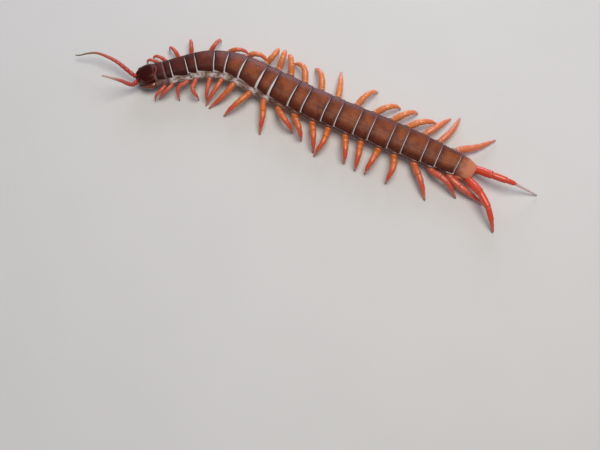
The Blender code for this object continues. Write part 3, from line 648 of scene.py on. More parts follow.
def curve_reader(curve):
    """Length of a curve, and a function that gives its point and direction at a distance."""
    lengths = [0.0]
    for start, end in zip(curve, curve[1:]):
        lengths.append(lengths[-1] + (end - start).length)

    def read(distance):
        index = 0
        while index < len(curve) - 2 and lengths[index + 1] < distance:
            index += 1
        span = lengths[index + 1] - lengths[index]
        share = (distance - lengths[index]) / span
        return curve[index].lerp(curve[index + 1], share), (curve[index + 1] - curve[index]).normalized()

    return lengths[-1], read


def level_across(direction):
    """The level unit vector to the left of a direction."""
    return UP.cross(Vector((direction.x, direction.y, 0.0))).normalized()


def crowded(count, places, width, gain):
    """Shares from 0 to 1 in a row of count steps, set closer together near the given places."""
    density = []
    for step in range(FINE_STEPS + 1):
        density.append(1.0 + gain * sum(bump(step / FINE_STEPS - where, width) for where in places))
    sums = [0.0]
    for before, after in zip(density, density[1:]):
        sums.append(sums[-1] + (before + after) / 2.0)
    shares = []
    index = 0
    for step in range(count + 1):
        wanted = sums[-1] * step / count
        while index < FINE_STEPS - 1 and sums[index + 1] < wanted:
            index += 1
        shares.append((index + (wanted - sums[index]) / (sums[index + 1] - sums[index])) / FINE_STEPS)
    return shares


def sheet(columns, rows, put, rolled=False):
    """A grid whose points put(column, row) sets, with named values; a rolled one closes on itself."""
    bm = bmesh.new()
    bmesh.ops.create_grid(bm, x_segments=columns, y_segments=rows, size=0.5)
    layers = {name: bm.verts.layers.float.new(name) for name in put(0, 0)[1]}
    for vert in bm.verts:
        point, values = put(round((vert.co.x + 0.5) * columns), round((vert.co.y + 0.5) * rows))
        vert.co = point
        for name, value in values.items():
            vert[layers[name]] = value
    if rolled:
        bmesh.ops.remove_doubles(bm, verts=bm.verts, dist=WELD)
        bmesh.ops.recalc_face_normals(bm, faces=bm.faces)
    return bm


def tube(sides, rings):
    """A closed tube through rings of (centre, direction, across, radius, values), shut at both ends."""
    last = len(rings) - 1

    def put(column, row):
        centre, direction, across, radius, values = rings[row]
        if row in (0, last):
            return centre, values
        over = direction.cross(across).normalized()
        flat = over.cross(direction)
        angle = 2.0 * math.pi * (column % sides) / sides
        return centre + (flat * math.cos(angle) + over * math.sin(angle)) * radius, values

    return sheet(sides, last, put, rolled=True)


def shut(rings):
    """A row of rings with a middle point added before the first and after the last."""
    return [rings[0], *rings, rings[-1]]


def thicken(bm, thickness):
    """Gives a sheet that faces up a wall below it."""
    bmesh.ops.solidify(bm, geom=bm.faces[:], thickness=thickness)
    bm.normal_update()


def gather(parts):
    """One mesh from several."""
    whole = bmesh.new()
    for part in parts:
        mesh = bpy.data.meshes.new("part")
        part.to_mesh(mesh)
        part.free()
        whole.from_mesh(mesh)
        bpy.data.meshes.remove(mesh)
    return whole


def dome(centre, axes, radii, facets, values):
    """A round lens or cushion with the given half sizes along its three directions."""
    along, over, out = axes
    bm = bmesh.new()
    bmesh.ops.create_uvsphere(bm, u_segments=facets[0], v_segments=facets[1], radius=1.0)
    layers = {name: bm.verts.layers.float.new(name) for name in values}
    for vert in bm.verts:
        x, y, z = vert.co
        for name, value in values.items():
            vert[layers[name]] = value
        vert.co = centre + along * x * radii[0] + over * y * radii[1] + out * z * radii[2]
    bmesh.ops.recalc_face_normals(bm, faces=bm.faces)
    return bm


def spine(base, direction, radius, length, values, sides=7):
    """A sharp spine that leans along its direction."""
    forward = direction.normalized()
    across = forward.orthogonal().normalized()
    rings = []
    for share, size in SPINE_SHAPE:
        rings.append((base + forward * length * share, forward, across, radius * size, values))
    return tube(sides, shut(rings))


def make_piece(name, bm, finish, nodes, sharp=50.0):
    """A named piece from a mesh in millimetres: in metres, smooth, riding on the body."""
    bmesh.ops.scale(bm, vec=(MM, MM, MM), verts=bm.verts)
    mesh = bpy.data.meshes.new(name)
    bm.to_mesh(mesh)
    bm.free()
    mesh.shade_smooth()
    mesh.set_sharp_from_angle(angle=math.radians(sharp))
    mesh.materials.append(finish)
    piece = bpy.data.objects.new(name, mesh)
    bpy.context.scene.collection.objects.link(piece)
    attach(piece, BODY)
    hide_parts(*nodes)
    return piece


# Places of a Mix node's sockets when it mixes colours
MIX_FACTOR = 0
MIX_FIRST = 6
MIX_SECOND = 7
MIX_RESULT = 2


class Signal:
    """A socket's number in a material, with the usual arithmetic."""

    def __init__(self, finish, socket):
        self.finish = finish
        self.socket = socket

    def maths(self, operation, first, second):
        """A Math node of two values."""
        return self.finish.node("ShaderNodeMath", {"operation": operation}, {0: first, 1: second})

    def __add__(self, other):
        return self.maths("ADD", self, other)

    def __sub__(self, other):
        return self.maths("SUBTRACT", self, other)

    def __rsub__(self, other):
        return self.maths("SUBTRACT", other, self)

    def __mul__(self, other):
        return self.maths("MULTIPLY", self, other)

    def __abs__(self):
        return self.maths("ABSOLUTE", self, 0.0)

    __radd__ = __add__
    __rmul__ = __mul__


class Finish:
    """A procedural material, built node by node on the object's coordinates and named values."""

    def __init__(self, name, **constants):
        self.material = bpy.data.materials.new(name)
        self.material.use_nodes = True
        self.tree = self.material.node_tree
        self.shader = self.tree.nodes["Principled BSDF"]
        self.place = self.node("ShaderNodeTexCoord", output="Object")
        for socket, value in constants.items():
            self.shader.inputs[socket.replace("_", " ")].default_value = value

    def node(self, kind, settings=None, inputs=None, output=0):
        """A node of any type: its settings first, then its sockets' values or links."""
        node = self.tree.nodes.new(kind)
        for name, value in (settings or {}).items():
            setattr(node, name, value)
        for name, value in (inputs or {}).items():
            self.feed(node.inputs[name], value)
        return Signal(self, node.outputs[output])

    def feed(self, socket, value):
        """Sets a socket, or links a signal to it."""
        if isinstance(value, Signal):
            self.tree.links.new(value.socket, socket)
        else:
            socket.default_value = value

    def value(self, name):
        """A named value of the mesh."""
        return self.node("ShaderNodeAttribute", {"attribute_name": name}, output="Fac")

    def noise(self, size, detail=3.0, stretch=(1.0, 1.0, 1.0)):
        """Soft noise from 0 to 1 with features of about the size in millimetres."""
        moved = self.node("ShaderNodeMapping", {}, {"Vector": self.place, "Scale": stretch})
        sockets = {"Vector": moved, "Scale": 1.0 / (size * MM), "Detail": detail}
        return self.node("ShaderNodeTexNoise", {}, sockets)

    def cells(self, size):
        """Distance to the nearest of scattered points about the size apart."""
        return self.node("ShaderNodeTexVoronoi", {}, {"Vector": self.place, "Scale": 1.0 / (size * MM)})

    def step(self, signal, low, high):
        """A smooth rise from 0 to 1 as a signal goes from low to high; high may be the lower."""
        limits = {"Value": signal, "From Min": low, "From Max": high}
        return self.node("ShaderNodeMapRange", {"interpolation_type": "SMOOTHSTEP"}, limits)

    def mix(self, factor, first, second):
        """One colour fading into another."""
        sockets = {MIX_FACTOR: factor, MIX_FIRST: colour(first), MIX_SECOND: colour(second)}
        return self.node("ShaderNodeMix", {"data_type": "RGBA"}, sockets, MIX_RESULT)

    def done(self, base, rough, height=None, depth=0.0, coat=None):
        """Links the results to the shader; the height's depth is in millimetres."""
        self.feed(self.shader.inputs["Base Color"], base)
        self.feed(self.shader.inputs["Roughness"], rough)
        if coat is not None:
            self.feed(self.shader.inputs["Coat Weight"], coat)
        if height is not None:
            lifted = self.node("ShaderNodeBump", {}, {"Height": height, "Distance": depth * MM}, "Normal")
            self.feed(self.shader.inputs["Normal"], lifted)
        return self.material


def colour(value):
    """A colour with its alpha, from a signal, a setting or three numbers."""
    return value if isinstance(value, Signal) else (*value[:3], 1.0)


def shade(value, share):
    """A colour made darker or lighter by a share."""
    return [part * share for part in value]


def colour_setting(name, description, default):
    """A colour that the sidebar shows."""
    return FloatVectorProperty(name=name, description=description, default=default, size=3, min=0.0,
                               max=1.0, subtype="COLOR")


def length_setting(name, description, millimetres):
    """A length that the sidebar shows, given in millimetres."""
    return FloatProperty(name=name, description=description, default=millimetres * MM, min=0.0,
                         precision=5, unit="LENGTH")


class CentipedeTrunkSettings(bpy.types.PropertyGroup):
    """Sizes and colours of the trunk."""

    plate_thickness: length_setting("Plate thickness", "Thickness of the back and belly plates", 0.30)
    edge_roll: length_setting("Rolled edge", "Width of the rounded edge of each plate", 0.38)
    joint_gap: length_setting("Joint gap", "Width of the soft line between two back plates", 0.36)
    suture_depth: length_setting("Suture depth", "Depth of the two long lines on the back plates", 0.05)
    fold_depth: length_setting("Fold depth", "Depth of the folds in the soft flanks", 0.32)
    plate_middle: colour_setting("Plate middle", "Middle of the back plates", (0.30, 0.077, 0.023))
    plate_edge: colour_setting("Plate edge", "Back plates near their edges", (0.10, 0.023, 0.015))
    # The first plates are darker: partly their own colour, partly painted shade over the front of the body
    plate_warm: colour_setting("Front middle", "Middle of the first plates", (0.120, 0.024, 0.016))
    plate_front: colour_setting("Front plates", "First plates near their edges", (0.052, 0.011, 0.008))
    # Dark colour of the plates' own dark freckles, and of the painted shadow at the front of each plate
    # behind the soft line
    plate_freckle_and_shadow: colour_setting("Front band", "Dark band behind each soft line", (0.040, 0.010, 0.008))
    # Painted sheen: the paler lilac-grey rear margin of each plate is a painted reflection
    plate_rear_sheen: colour_setting("Rear margin", "Paler rear margin of each plate", (0.25, 0.12, 0.11))
    # Painted reflection: a cool sheen painted on the right edges of the plates
    plate_painted_sheen: colour_setting("Right edge", "Cool sheen at the right edge", (0.24, 0.135, 0.145))
    # Painted highlight: a pale line painted along the left edge of the plates, standing in for an edge
    # highlight and for the pale skin seen past them
    plate_left_highlight: colour_setting("Left edge", "Pale rim along the left edge", (0.42, 0.32, 0.31))
    plate_last: colour_setting("Last plate", "The last plate", (0.66, 0.23, 0.13))
    line: colour_setting("Soft line", "Soft line between two back plates", (0.72, 0.66, 0.64))
    # Painted shade: the soft lines darken towards the right side of the body
    line_painted_shade: colour_setting("Far line", "Soft lines on the right side", (0.26, 0.16, 0.14))
    membrane: colour_setting("Membrane", "Soft skin of the front flanks", (0.34, 0.225, 0.175))
    flare: colour_setting("Joint flares", "Front flanks at the joints", (0.56, 0.47, 0.47))
    membrane_rear: colour_setting("Rear membrane", "Soft skin of the rear flanks", (0.20, 0.075, 0.048))
    membrane_under: colour_setting("Belly membrane", "Soft skin of the underside", (0.40, 0.25, 0.14))
    # Painted shade: dark colour painted in the folds of the soft skin, round the leg roots and in the
    # breathing holes; it also darkens the belly plates towards their side edges
    dark_and_fold_shade: colour_setting("Membrane folds", "Folds of the soft skin", (0.10, 0.045, 0.032))
    belly: colour_setting("Belly plates", "Belly plates", (0.46, 0.19, 0.075))


class CentipedeHeadSettings(bpy.types.PropertyGroup):
    """Sizes and colours of the head."""

    rim_reach: length_setting("Rim reach", "How far the head's rim lies over the first plate", 1.3)
    lens_radius: length_setting("Lens radius", "Radius of each eye lens", 0.37)
    head_dark: colour_setting("Head", "Main colour of the head", (0.040, 0.004, 0.003))
    head_warm: colour_setting("Head sides", "Sides, front and rear of the head", (0.13, 0.022, 0.012))
    # Painted highlight: the pink line along the head's rolled rim
    rim: colour_setting("Head rim", "Rim at the back of the head", (0.32, 0.10, 0.08))
    venom_base: colour_setting("Venom claws", "Venom claws and their plate", (0.24, 0.055, 0.022))
    fang: colour_setting("Fang", "Fang tips, claws and teeth", (0.018, 0.008, 0.006))
    lens: colour_setting("Lens", "Eye lenses", (0.008, 0.006, 0.006))
    antenna_base: colour_setting("Antenna base", "Lower part of the antennae", (0.50, 0.040, 0.024))
    antenna_middle: colour_setting("Antenna middle", "Middle of the antennae", (0.62, 0.13, 0.085))
    antenna_tip: colour_setting("Antenna tip", "Tip of the right antenna", (0.30, 0.22, 0.15))
    antenna_pale: colour_setting("Pale antenna", "Tip of the left antenna", (0.72, 0.50, 0.44))


class CentipedeLegSettings(bpy.types.PropertyGroup):
    """Sizes and colours of the legs."""

    sides: IntProperty(name="Sides", description="Facets round each leg", default=16, min=8, max=32)
    leg_near: colour_setting("Leg base", "Long articles near the body", (0.72, 0.175, 0.036))
    leg_middle: colour_setting("Leg middle", "Middle articles", (0.74, 0.10, 0.034))
    leg_foot: colour_setting("Foot", "Last articles of the walking legs", (0.68, 0.27, 0.19))
    leg_pink: colour_setting("Pink legs", "Front legs and last walking legs", (0.66, 0.105, 0.072))
    # Painted light: the right legs behind the bend are painted brighter, as if lit
    leg_painted_light: colour_setting("Right legs", "Brighter legs on the right side", (0.90, 0.30, 0.105))
    joint: colour_setting("Leg joints", "Soft skin in the leg joints", (0.46, 0.13, 0.055))
    # Darker leg roots: partly their own colour, partly painted shade where the leg meets the flank
    leg_root_and_shade: colour_setting("Leg roots", "Short root articles", (0.30, 0.075, 0.040))
    last_near: colour_setting("Last leg", "Last pair of legs", (0.76, 0.075, 0.030))
    last_foot: colour_setting("Last foot", "Feet of the last pair", (0.62, 0.20, 0.15))
    last_pale: colour_setting("Pale foot", "Foot of the last right leg", (0.74, 0.56, 0.52))


class CentipedeStageSettings(bpy.types.PropertyGroup):
    """Floor, light and camera."""

    floor: colour_setting("Floor", "Colour of the floor", (0.74, 0.73, 0.71))
    key_power: FloatProperty(name="Key light", description="Power of the main light", default=3.9,
                             unit="POWER")
    fill_power: FloatProperty(name="Fill light", description="Power of the cool far light", default=3.2,
                              unit="POWER")
    sky: FloatProperty(name="Sky", description="Strength of the light from all round", default=0.24,
                       min=0.0)
    lens: FloatProperty(name="Focal length", description="Focal length of the camera", default=48.0,
                        unit="CAMERA")


def plate_finish(trunk):
    """Glossy brown cuticle of the back plates: warm in the middle, maroon at the edges, with painted shade,
    sheen and highlights.
    """
    finish = Finish("back_plate_cuticle", Coat_Roughness=0.28, Specular_IOR_Level=0.11)
    right = finish.value("across")
    across = abs(right)
    front = finish.value("front")
    rear = finish.value("rear")
    tail = finish.value("tail")
    mottle = finish.noise(2.0, 5.0)
    clouds = finish.noise(6.0, 2.0)
    freckle = finish.noise(0.9, 4.0)
    grain = finish.noise(0.25, 3.0)
    drift = mottle - 0.5
    warm = finish.step(across + drift * 0.45, 1.05, 0.25) * finish.step(clouds, 0.15, 0.60)
    # The first plates are darker: partly their own colour, partly painted shade over the front of the body
    middle = finish.mix(finish.step(tail, 0.12, 0.40), trunk.plate_warm, trunk.plate_middle)
    edge = finish.mix(finish.step(tail, 0.10, 0.42), trunk.plate_front, trunk.plate_edge)
    base = finish.mix(warm, edge, middle)
    # Painted shade: the front part of each plate is darkened towards the edge colour
    front_shade = finish.step(front + drift * 3.0, 3.8, 0.6)
    base = finish.mix(front_shade * 0.75, base, edge)
    near_rear = finish.step(rear + drift * 3.0, 2.4, 0.4)
    base = finish.mix(near_rear * 0.40, base, edge)
    behind_front = finish.step(tail, 0.20, 0.35)
    # Paler speckles in the warm middle: partly the cuticle's own speckle, partly painted highlights
    light = finish.step(freckle, 0.44, 0.30) * behind_front * warm
    base = finish.mix(light * 0.40, base, shade(trunk.plate_middle, 1.5))
    spots = finish.step(freckle + across * 0.10, 0.60, 0.74) * behind_front
    base = finish.mix(spots * 0.45, base, trunk.plate_freckle_and_shadow)
    # Painted sheen: the rear margin of each plate, the first plates too, is paled with a painted lilac-grey
    # reflection; the margin is also a little rougher
    margin = finish.step(rear + drift * 0.25, 0.75, 0.25)
    base = finish.mix(margin * finish.step(tail, 0.10, 0.30) * 0.45, base, trunk.plate_rear_sheen)
    first_margin = margin * finish.step(tail, 0.075, 0.045) * 0.7
    base = finish.mix(first_margin, base, trunk.plate_rear_sheen)
    # Painted reflection: a cool sheen painted towards the right edge of the middle plates
    sheen = finish.step(right + drift * 0.3, 0.30, 1.0) * finish.step(tail, 0.20, 0.34)
    sheen = sheen * (0.6 - finish.step(tail, 0.55, 0.85) * 0.4)
    base = finish.mix(sheen, base, trunk.plate_painted_sheen)
    # Painted highlight: a pale line along the left edge, standing in for an edge highlight and the pale skin
    # seen past the plates
    rim = finish.step(right + drift * 0.02, -0.965, -0.990) * finish.step(tail, 0.22, 0.34)
    base = finish.mix(rim * 0.6, base, trunk.plate_left_highlight)
    suture = finish.step(abs(across - SUTURE_PLACE), 0.022, 0.006)
    base = finish.mix(suture * 0.35, base, trunk.plate_front)
    last = finish.step(tail + drift * 0.03, 0.944, 0.992)
    base = finish.mix(last, base, trunk.plate_last)
    # Painted shadow: a dark band at the front of each plate, behind the soft line, where the plate before it
    # shades it
    band = finish.step(front + drift * 0.6, 1.25, 0.55)
    base = finish.mix(band * (0.85 - finish.step(tail, 0.45, 0.75) * 0.5), base, trunk.plate_freckle_and_shadow)
    pits = finish.step(finish.cells(0.45), 0.22, 0.05)
    rough = 0.40 + (grain - 0.5) * 0.18 + margin * 0.06
    height = grain * 0.35 + mottle * 0.4 - pits * 0.5
    return finish.done(base, rough, height, 0.03, 0.04)


def belly_finish(trunk):
    """Paler tan cuticle of the belly plates."""
    finish = Finish("belly_plate_cuticle", Coat_Roughness=0.3)
    mottle = finish.noise(1.8, 4.0)
    grain = finish.noise(0.25, 3.0)
    edge = finish.step(abs(finish.value("across")), 0.75, 1.0)
    base = finish.mix(finish.step(mottle, 0.3, 0.7), trunk.belly, shade(trunk.belly, 0.72))
    base = finish.mix(edge * 0.5, base, trunk.dark_and_fold_shade)
    return finish.done(base, 0.36 + (grain - 0.5) * 0.2, grain, 0.02, 0.2)


def skin_finish(trunk):
    """Soft pale skin between the plates and along the flanks, with painted shade in its folds and painted
    highlights on them.
    """
    finish = Finish("soft_skin", Subsurface_Weight=0.15, Subsurface_Scale=0.001)
    fold = finish.value("fold")
    tail = finish.value("tail")
    flank = finish.value("flank")
    right = finish.value("right")
    joint = finish.value("joint")
    under = finish.value("under")
    blotch = finish.noise(1.6, 4.0)
    fine = finish.noise(0.35, 4.0, (1.0, 1.0, 2.5))
    drift = blotch - 0.5
    # Painted shade: the soft lines darken towards the right side of the body
    line = finish.mix(finish.step(right + drift * 0.3, -0.10, 0.90), trunk.line, trunk.line_painted_shade)
    side = finish.mix(finish.step(tail + drift * 0.10, 0.24, 0.40), trunk.membrane, trunk.membrane_rear)
    flared = finish.step(joint + drift * 0.8, 0.25, 0.85)
    side = finish.mix(flared * 0.85, side, trunk.flare)
    base = finish.mix(finish.step(flank, 0.25, 0.75), line, side)
    base = finish.mix(under * (0.75 + drift), base, trunk.membrane_under)
    rear_end = finish.step(tail, 0.962, 0.978)
    base = finish.mix(rear_end * 0.8, base, trunk.plate_last)
    # Painted shade: the folds, the leg roots and the breathing holes darken
    folded = finish.step(fold + drift * 0.35, 0.30, 0.80)
    base = finish.mix(folded * 0.9, base, trunk.dark_and_fold_shade)
    # Painted highlights: pale flecks painted over the flanks as highlights on their small ridges
    flank_highlights = finish.step(fine, 0.60, 0.78) * flank
    base = finish.mix(flank_highlights * 0.45, base, trunk.line)
    neck = finish.step(tail + drift * 0.01, 0.046, 0.030)
    base = finish.mix(neck * 0.9, base, trunk.plate_warm)
    return finish.done(base, 0.42 + blotch * 0.2, fine + blotch, 0.06)


def head_finish(head):
    """Dark glossy maroon cuticle of the head, warmer on its sides."""
    finish = Finish("head_cuticle", Coat_Roughness=0.22, Specular_IOR_Level=0.10)
    side = finish.value("side")
    rim = finish.value("rim")
    glow = finish.value("glow")
    mottle = finish.noise(1.5, 4.0)
    grain = finish.noise(0.22, 3.0)
    pits = finish.step(finish.cells(0.38), 0.2, 0.05)
    outer = finish.step(side + (mottle - 0.5) * 0.4, 0.45, 1.0)
    base = finish.mix(outer, head.head_dark, head.head_warm)
    warm = glow * finish.step(mottle, 0.30, 0.60)
    base = finish.mix(warm * 0.7, base, head.head_warm)
    # Painted highlight: the pink line along the head's rolled rim
    base = finish.mix(rim * 0.8, base, head.rim)
    rough = 0.36 + (grain - 0.5) * 0.16 + rim * 0.1
    return finish.done(base, rough, grain * 0.3 + mottle * 0.3 - pits * 0.45, 0.03, 0.06)


def leg_finish(name, near, middle, foot, legs):
    """Glossy leg cuticle that reddens towards the foot, with pale skin in the joints."""
    finish = Finish(name, Subsurface_Weight=0.12, Subsurface_Scale=0.001, Coat_Roughness=0.25)
    along = finish.value("along")
    groove = finish.value("groove")
    tone = finish.value("tone")
    pale = finish.value("pale")
    bright = finish.value("bright")
    mottle = finish.noise(1.3, 4.0)
    streak = finish.noise(0.5, 3.0)
    grain = finish.noise(0.16, 3.0)
    drift = (mottle - 0.5) * 0.22
    base = finish.mix(finish.step(along + drift, 0.28, 0.62), near, middle)
    # Painted light: the right legs behind the bend are painted brighter, as if lit
    base = finish.mix(bright * 0.7, base, legs.leg_painted_light)
    base = finish.mix(tone * 0.75, base, legs.leg_pink)
    outer = finish.step(along + drift * 0.5, 0.74, 0.94)
    base = finish.mix(outer * 0.62, base, foot)
    pale_foot = finish.step(along + drift * 0.2, 0.585, 0.635) * pale
    base = finish.mix(pale_foot, base, legs.last_pale)
    # Darker leg roots: partly their own colour, partly painted shade where the leg meets the flank
    root = finish.step(along, 0.0, -0.08)
    base = finish.mix(root * 0.7, base, legs.leg_root_and_shade)
    streaks = finish.step(streak, 0.56, 0.75)
    base = finish.mix(streaks * 0.30, base, shade(near, 0.55))
    base = finish.mix(groove * 0.6, base, legs.joint)
    rough = 0.30 + (grain - 0.5) * 0.18 + groove * 0.15
    return finish.done(base, rough, grain * 0.5 + mottle * 0.5, 0.03, 0.30)


def antenna_finish(head):
    """Red antenna cuticle that pales to the tip, with downy outer articles."""
    finish = Finish("antenna_cuticle", Subsurface_Weight=0.1, Subsurface_Scale=0.001)
    along = finish.value("along")
    groove = finish.value("groove")
    grain = finish.noise(0.12, 2.0)
    mottle = finish.noise(1.0, 3.0)
    drift = (mottle - 0.5) * 0.15
    base = finish.mix(finish.step(along + drift, 0.12, 0.48), head.antenna_base, head.antenna_middle)
    tip = finish.mix(finish.value("pale"), head.antenna_tip, head.antenna_pale)
    base = finish.mix(finish.step(along + drift, 0.50, 0.85), base, tip)
    base = finish.mix(groove * 0.6, base, ANTENNA_GROOVE)
    rough = 0.34 + finish.step(along, 0.2, 0.45) * 0.22
    return finish.done(base, rough, grain + mottle, 0.03)


def venom_finish(head):
    """Orange-brown cuticle of the venom claws, black at the fangs."""
    finish = Finish("venom_claw_cuticle", Coat_Roughness=0.15)
    along = finish.value("along")
    groove = finish.value("groove")
    mottle = finish.noise(1.4, 4.0)
    grain = finish.noise(0.2, 3.0)
    clouded = finish.step(mottle, 0.35, 0.7)
    base = finish.mix(clouded, head.venom_base, shade(head.venom_base, 0.6))
    black = finish.step(along + (mottle - 0.5) * 0.08, 0.66, 0.84)
    base = finish.mix(black, base, head.fang)
    base = finish.mix(groove * 0.7, base, VENOM_GROOVE)
    return finish.done(base, 0.24 + (grain - 0.5) * 0.15, grain + mottle, 0.03, 0.5)


def horn_finish(head):
    """Hard dark horn of claws, teeth and spines, browner at the root."""
    finish = Finish("claw_horn", Coat_Roughness=0.1)
    along = finish.value("along")
    grain = finish.noise(0.12, 3.0)
    black = finish.step(along + (grain - 0.5) * 0.3, 0.05, 0.55)
    base = finish.mix(black, HORN_ROOT, head.fang)
    return finish.done(base, 0.2 + (grain - 0.5) * 0.1, grain, 0.01, 0.5)


def lens_finish(head):
    """Polished black lenses."""
    finish = Finish("eye_lens", Coat_Roughness=0.03, Coat_Weight=1.0)
    cloud = finish.noise(0.4, 2.0)
    base = finish.mix(finish.step(cloud, 0.4, 0.7), head.lens, LENS_CLOUD)
    return finish.done(base, 0.08 + cloud * 0.05)


def back_drop(across):
    """How far the back falls below its ridge, as a share of the section's height."""
    return BACK_FALL * across * across + SHOULDER_FALL * abs(across) ** SHOULDER_POWER


def rolled_off(inside, width):
    """Share of a rounded edge's drop at a distance inside the edge."""
    if inside >= width:
        return 0.0
    return 1.0 - math.sqrt(max(1.0 - (1.0 - inside / width) ** 2, 0.0))


def joint_width(distance, across, gap):
    """Width of a soft line: wide on the left where the bend opens the plates, finer elsewhere."""
    behind = ramp(distance, *LINE_REAR)
    leftward = ramp(-across, *BEND_OPENING_ACROSS)
    left_end = ramp(-across, *LINE_LEFT_END)
    right_end = ramp(across, *LINE_RIGHT_END)
    front_right = ramp(across, *LINE_FRONT_ACROSS)
    opened = BEND_OPENING * bump(distance - BEND_OPENING_AT, BEND_OPENING_OVER) * leftward
    wider = LINE_WIDER_LEFT * left_end * (1.0 - LINE_EVENS_OUT * behind)
    right = 1.0 - LINE_FINER_RIGHT * right_end
    front = 1.0 - LINE_FINER_FRONT * front_right * (1.0 - ramp(distance, *LINE_FRONT))
    rear = 1.0 - LINE_FINER_REAR * behind
    return gap * right * front * rear + opened + wider


def plate_outline(index, settings):
    """Front and rear margins of a back plate as functions of the place across it."""
    gap = settings.joint_gap / MM

    def margins(across):
        front = STARTS[index] - gap / 2.0 + joint_width(STARTS[index], across, gap)
        rear = STARTS[index + 1] - gap / 2.0
        if index == 0:
            front = FIRST_PLATE_START
        if index == LAST:
            rear = TRUNK_LENGTH - LAST_PLATE_SHORT
        return front, rear

    return margins


def make_back_plate(index, settings, finish):
    """One domed back plate with rolled edges, rounded corners and two long sutures."""
    roll_width = settings.edge_roll / MM
    suture = settings.suture_depth / MM
    margins = plate_outline(index, settings)
    rows = max(int(PLATE_LENGTHS[index] * PLATE_ROWS_PER_MM), PLATE_ROWS_LEAST)
    dense = (0.0, 1.0, 0.5 - SUTURE_PLACE / 2.0, 0.5 + SUTURE_PLACE / 2.0)
    across_shares = crowded(PLATE_COLUMNS, dense, *COLUMN_CROWDING)
    along_shares = crowded(rows, (0.0, 1.0), *ROW_CROWDING)
    side_ridge = SIDE_RIDGE * ramp(index, *SIDE_RIDGE_FROM)

    def put(column, row):
        across = 1.0 - 2.0 * across_shares[column]
        along = along_shares[row]
        front, rear = margins(across)
        distance = front + (rear - front) * along
        width, top, bottom = section(distance)
        from_front = distance - front
        from_rear = rear - distance
        inset = rolled_off(from_front, FRONT_CORNER) * FRONT_CORNER
        inset += rolled_off(from_rear, REAR_CORNER) * REAR_CORNER * REAR_CORNER_INSET
        opened = (BEND_FLARE * bump(distance - BEND_FLARE_AT, BEND_FLARE_OVER)
                  * ramp(across, *BEND_FLARE_ACROSS))
        flare = (PLATE_FLARE + opened) * (2.0 * along - 1.0) if index < LAST else 0.0
        side = across * (width + flare - inset)
        from_side = (1.0 - abs(across)) * width
        height = top - (top - bottom) * back_drop(side / width)
        lift = PLATE_CROWN * (1.0 - across * across) * math.sin(math.pi * along)
        lift -= EDGE_DROP * rolled_off(min(from_front, from_rear, from_side), roll_width)
        lift -= suture * bump(abs(across) - SUTURE_PLACE, SUTURE_WIDTH) * ramp(index, *SUTURE_FROM)
        lift += side_ridge * (hill(from_side, SIDE_CREST) - SIDE_FURROW_SHARE * hill(from_side, SIDE_FURROW))
        lift += REAR_RIDGE * hill(from_rear, REAR_CREST) - REAR_RIDGE * hill(from_rear, REAR_FURROW)
        spot = place(distance, side, height)
        lift += PLATE_UNEVEN * noise.noise(spot * PLATE_UNEVEN_PER_MM)
        point = place(distance, side * (1.0 + lift / LIFT_SPREAD), height + lift)
        tail = (index + along) / (LAST + 1)
        return point, {"across": across, "front": from_front, "rear": from_rear, "tail": tail}

    bm = sheet(PLATE_COLUMNS, rows, put)
    thicken(bm, settings.plate_thickness / MM)
    make_piece(f"back_plate_{index + 1:02d}", bm, finish, [trunk_node(index)])


def make_belly_plate(index, settings, finish):
    """One flat belly plate with two long furrows."""
    rows = max(int(PLATE_LENGTHS[index] * BELLY_ROWS_PER_MM), BELLY_ROWS_LEAST)
    across_shares = crowded(BELLY_COLUMNS, (0.0, 1.0), *BELLY_COLUMN_CROWDING)
    along_shares = crowded(rows, (0.0, 1.0), *BELLY_ROW_CROWDING)
    start = STARTS[index] + BELLY_GAP
    end = STARTS[index + 1] - BELLY_GAP

    def put(column, row):
        across = 2.0 * across_shares[column] - 1.0
        distance = start + (end - start) * along_shares[row]
        width, _, bottom = section(distance)
        from_front = distance - start
        from_rear = end - distance
        from_side = (1.0 - abs(across)) * width * BELLY_SHARE
        inset = rolled_off(from_front, BELLY_CORNER) + rolled_off(from_rear, BELLY_CORNER)
        side = across * (width * BELLY_SHARE - inset)
        lift = BELLY_STAND_OFF - BELLY_FURROW_DEPTH * hill(abs(across), BELLY_FURROW)
        lift -= BELLY_EDGE_DROP * rolled_off(min(from_front, from_rear, from_side), BELLY_EDGE)
        rounding = BELLY_ROUNDING * abs(across) ** 3
        return place(distance, side, bottom - lift + rounding), {"across": across}

    bm = sheet(BELLY_COLUMNS, rows, put)
    thicken(bm, settings.plate_thickness / MM)
    make_piece(f"belly_plate_{index + 1:02d}", bm, finish, [trunk_node(index)])


def round_section(profile, column):
    """Point of a half section for a column that goes round the whole one, and the column's side."""
    half = len(profile) - 1
    around = column % (2 * half)
    if around > half:
        return profile[2 * half - around], LEFT
    return profile[around], RIGHT


def skin_profile(count):
    """The soft skin's half section, in finer steps on the flank: (sideways, up, share of the swell)."""
    points = [Vector(point) for point in SKIN_OUTLINE]
    length, read = curve_reader(smooth_curve(points, CURVE_STEPS))
    return [tuple(read(length * share)[0]) for share in crowded(count, FLANK_DENSE, *FLANK_CROWDING)]


def nearest_joint(distance):
    """Signed distance to the nearest joint between plates."""
    return min((distance - start for start in STARTS), key=abs)


def fold_lines(distance, level, side):
    """Depth, from 0 to 1, of the long and the slanting folds of the soft flank."""
    depth = 0.0
    for along, slant, up, apart, layer, sharpness, share in FOLDS:
        wave = noise.noise(Vector((distance * along + level * slant, level * up + side * apart, layer)))
        depth += share * (1.0 - min(abs(wave) * sharpness, 1.0)) ** 2
    return min(depth, 1.0)


def leg_collars(side):
    """Centre and radius of the skin's collar round each walking leg of a side."""
    collars = []
    for pair in range(1, LAST + 1):
        radius = LEG_COLLAR_RADIUS * COXA_RADIUS * LEG_SIZES[pair - 1] * LEG_GIRTHS[pair - 1]
        collars.append((leg_base(pair, side)[1], radius))
    return collars


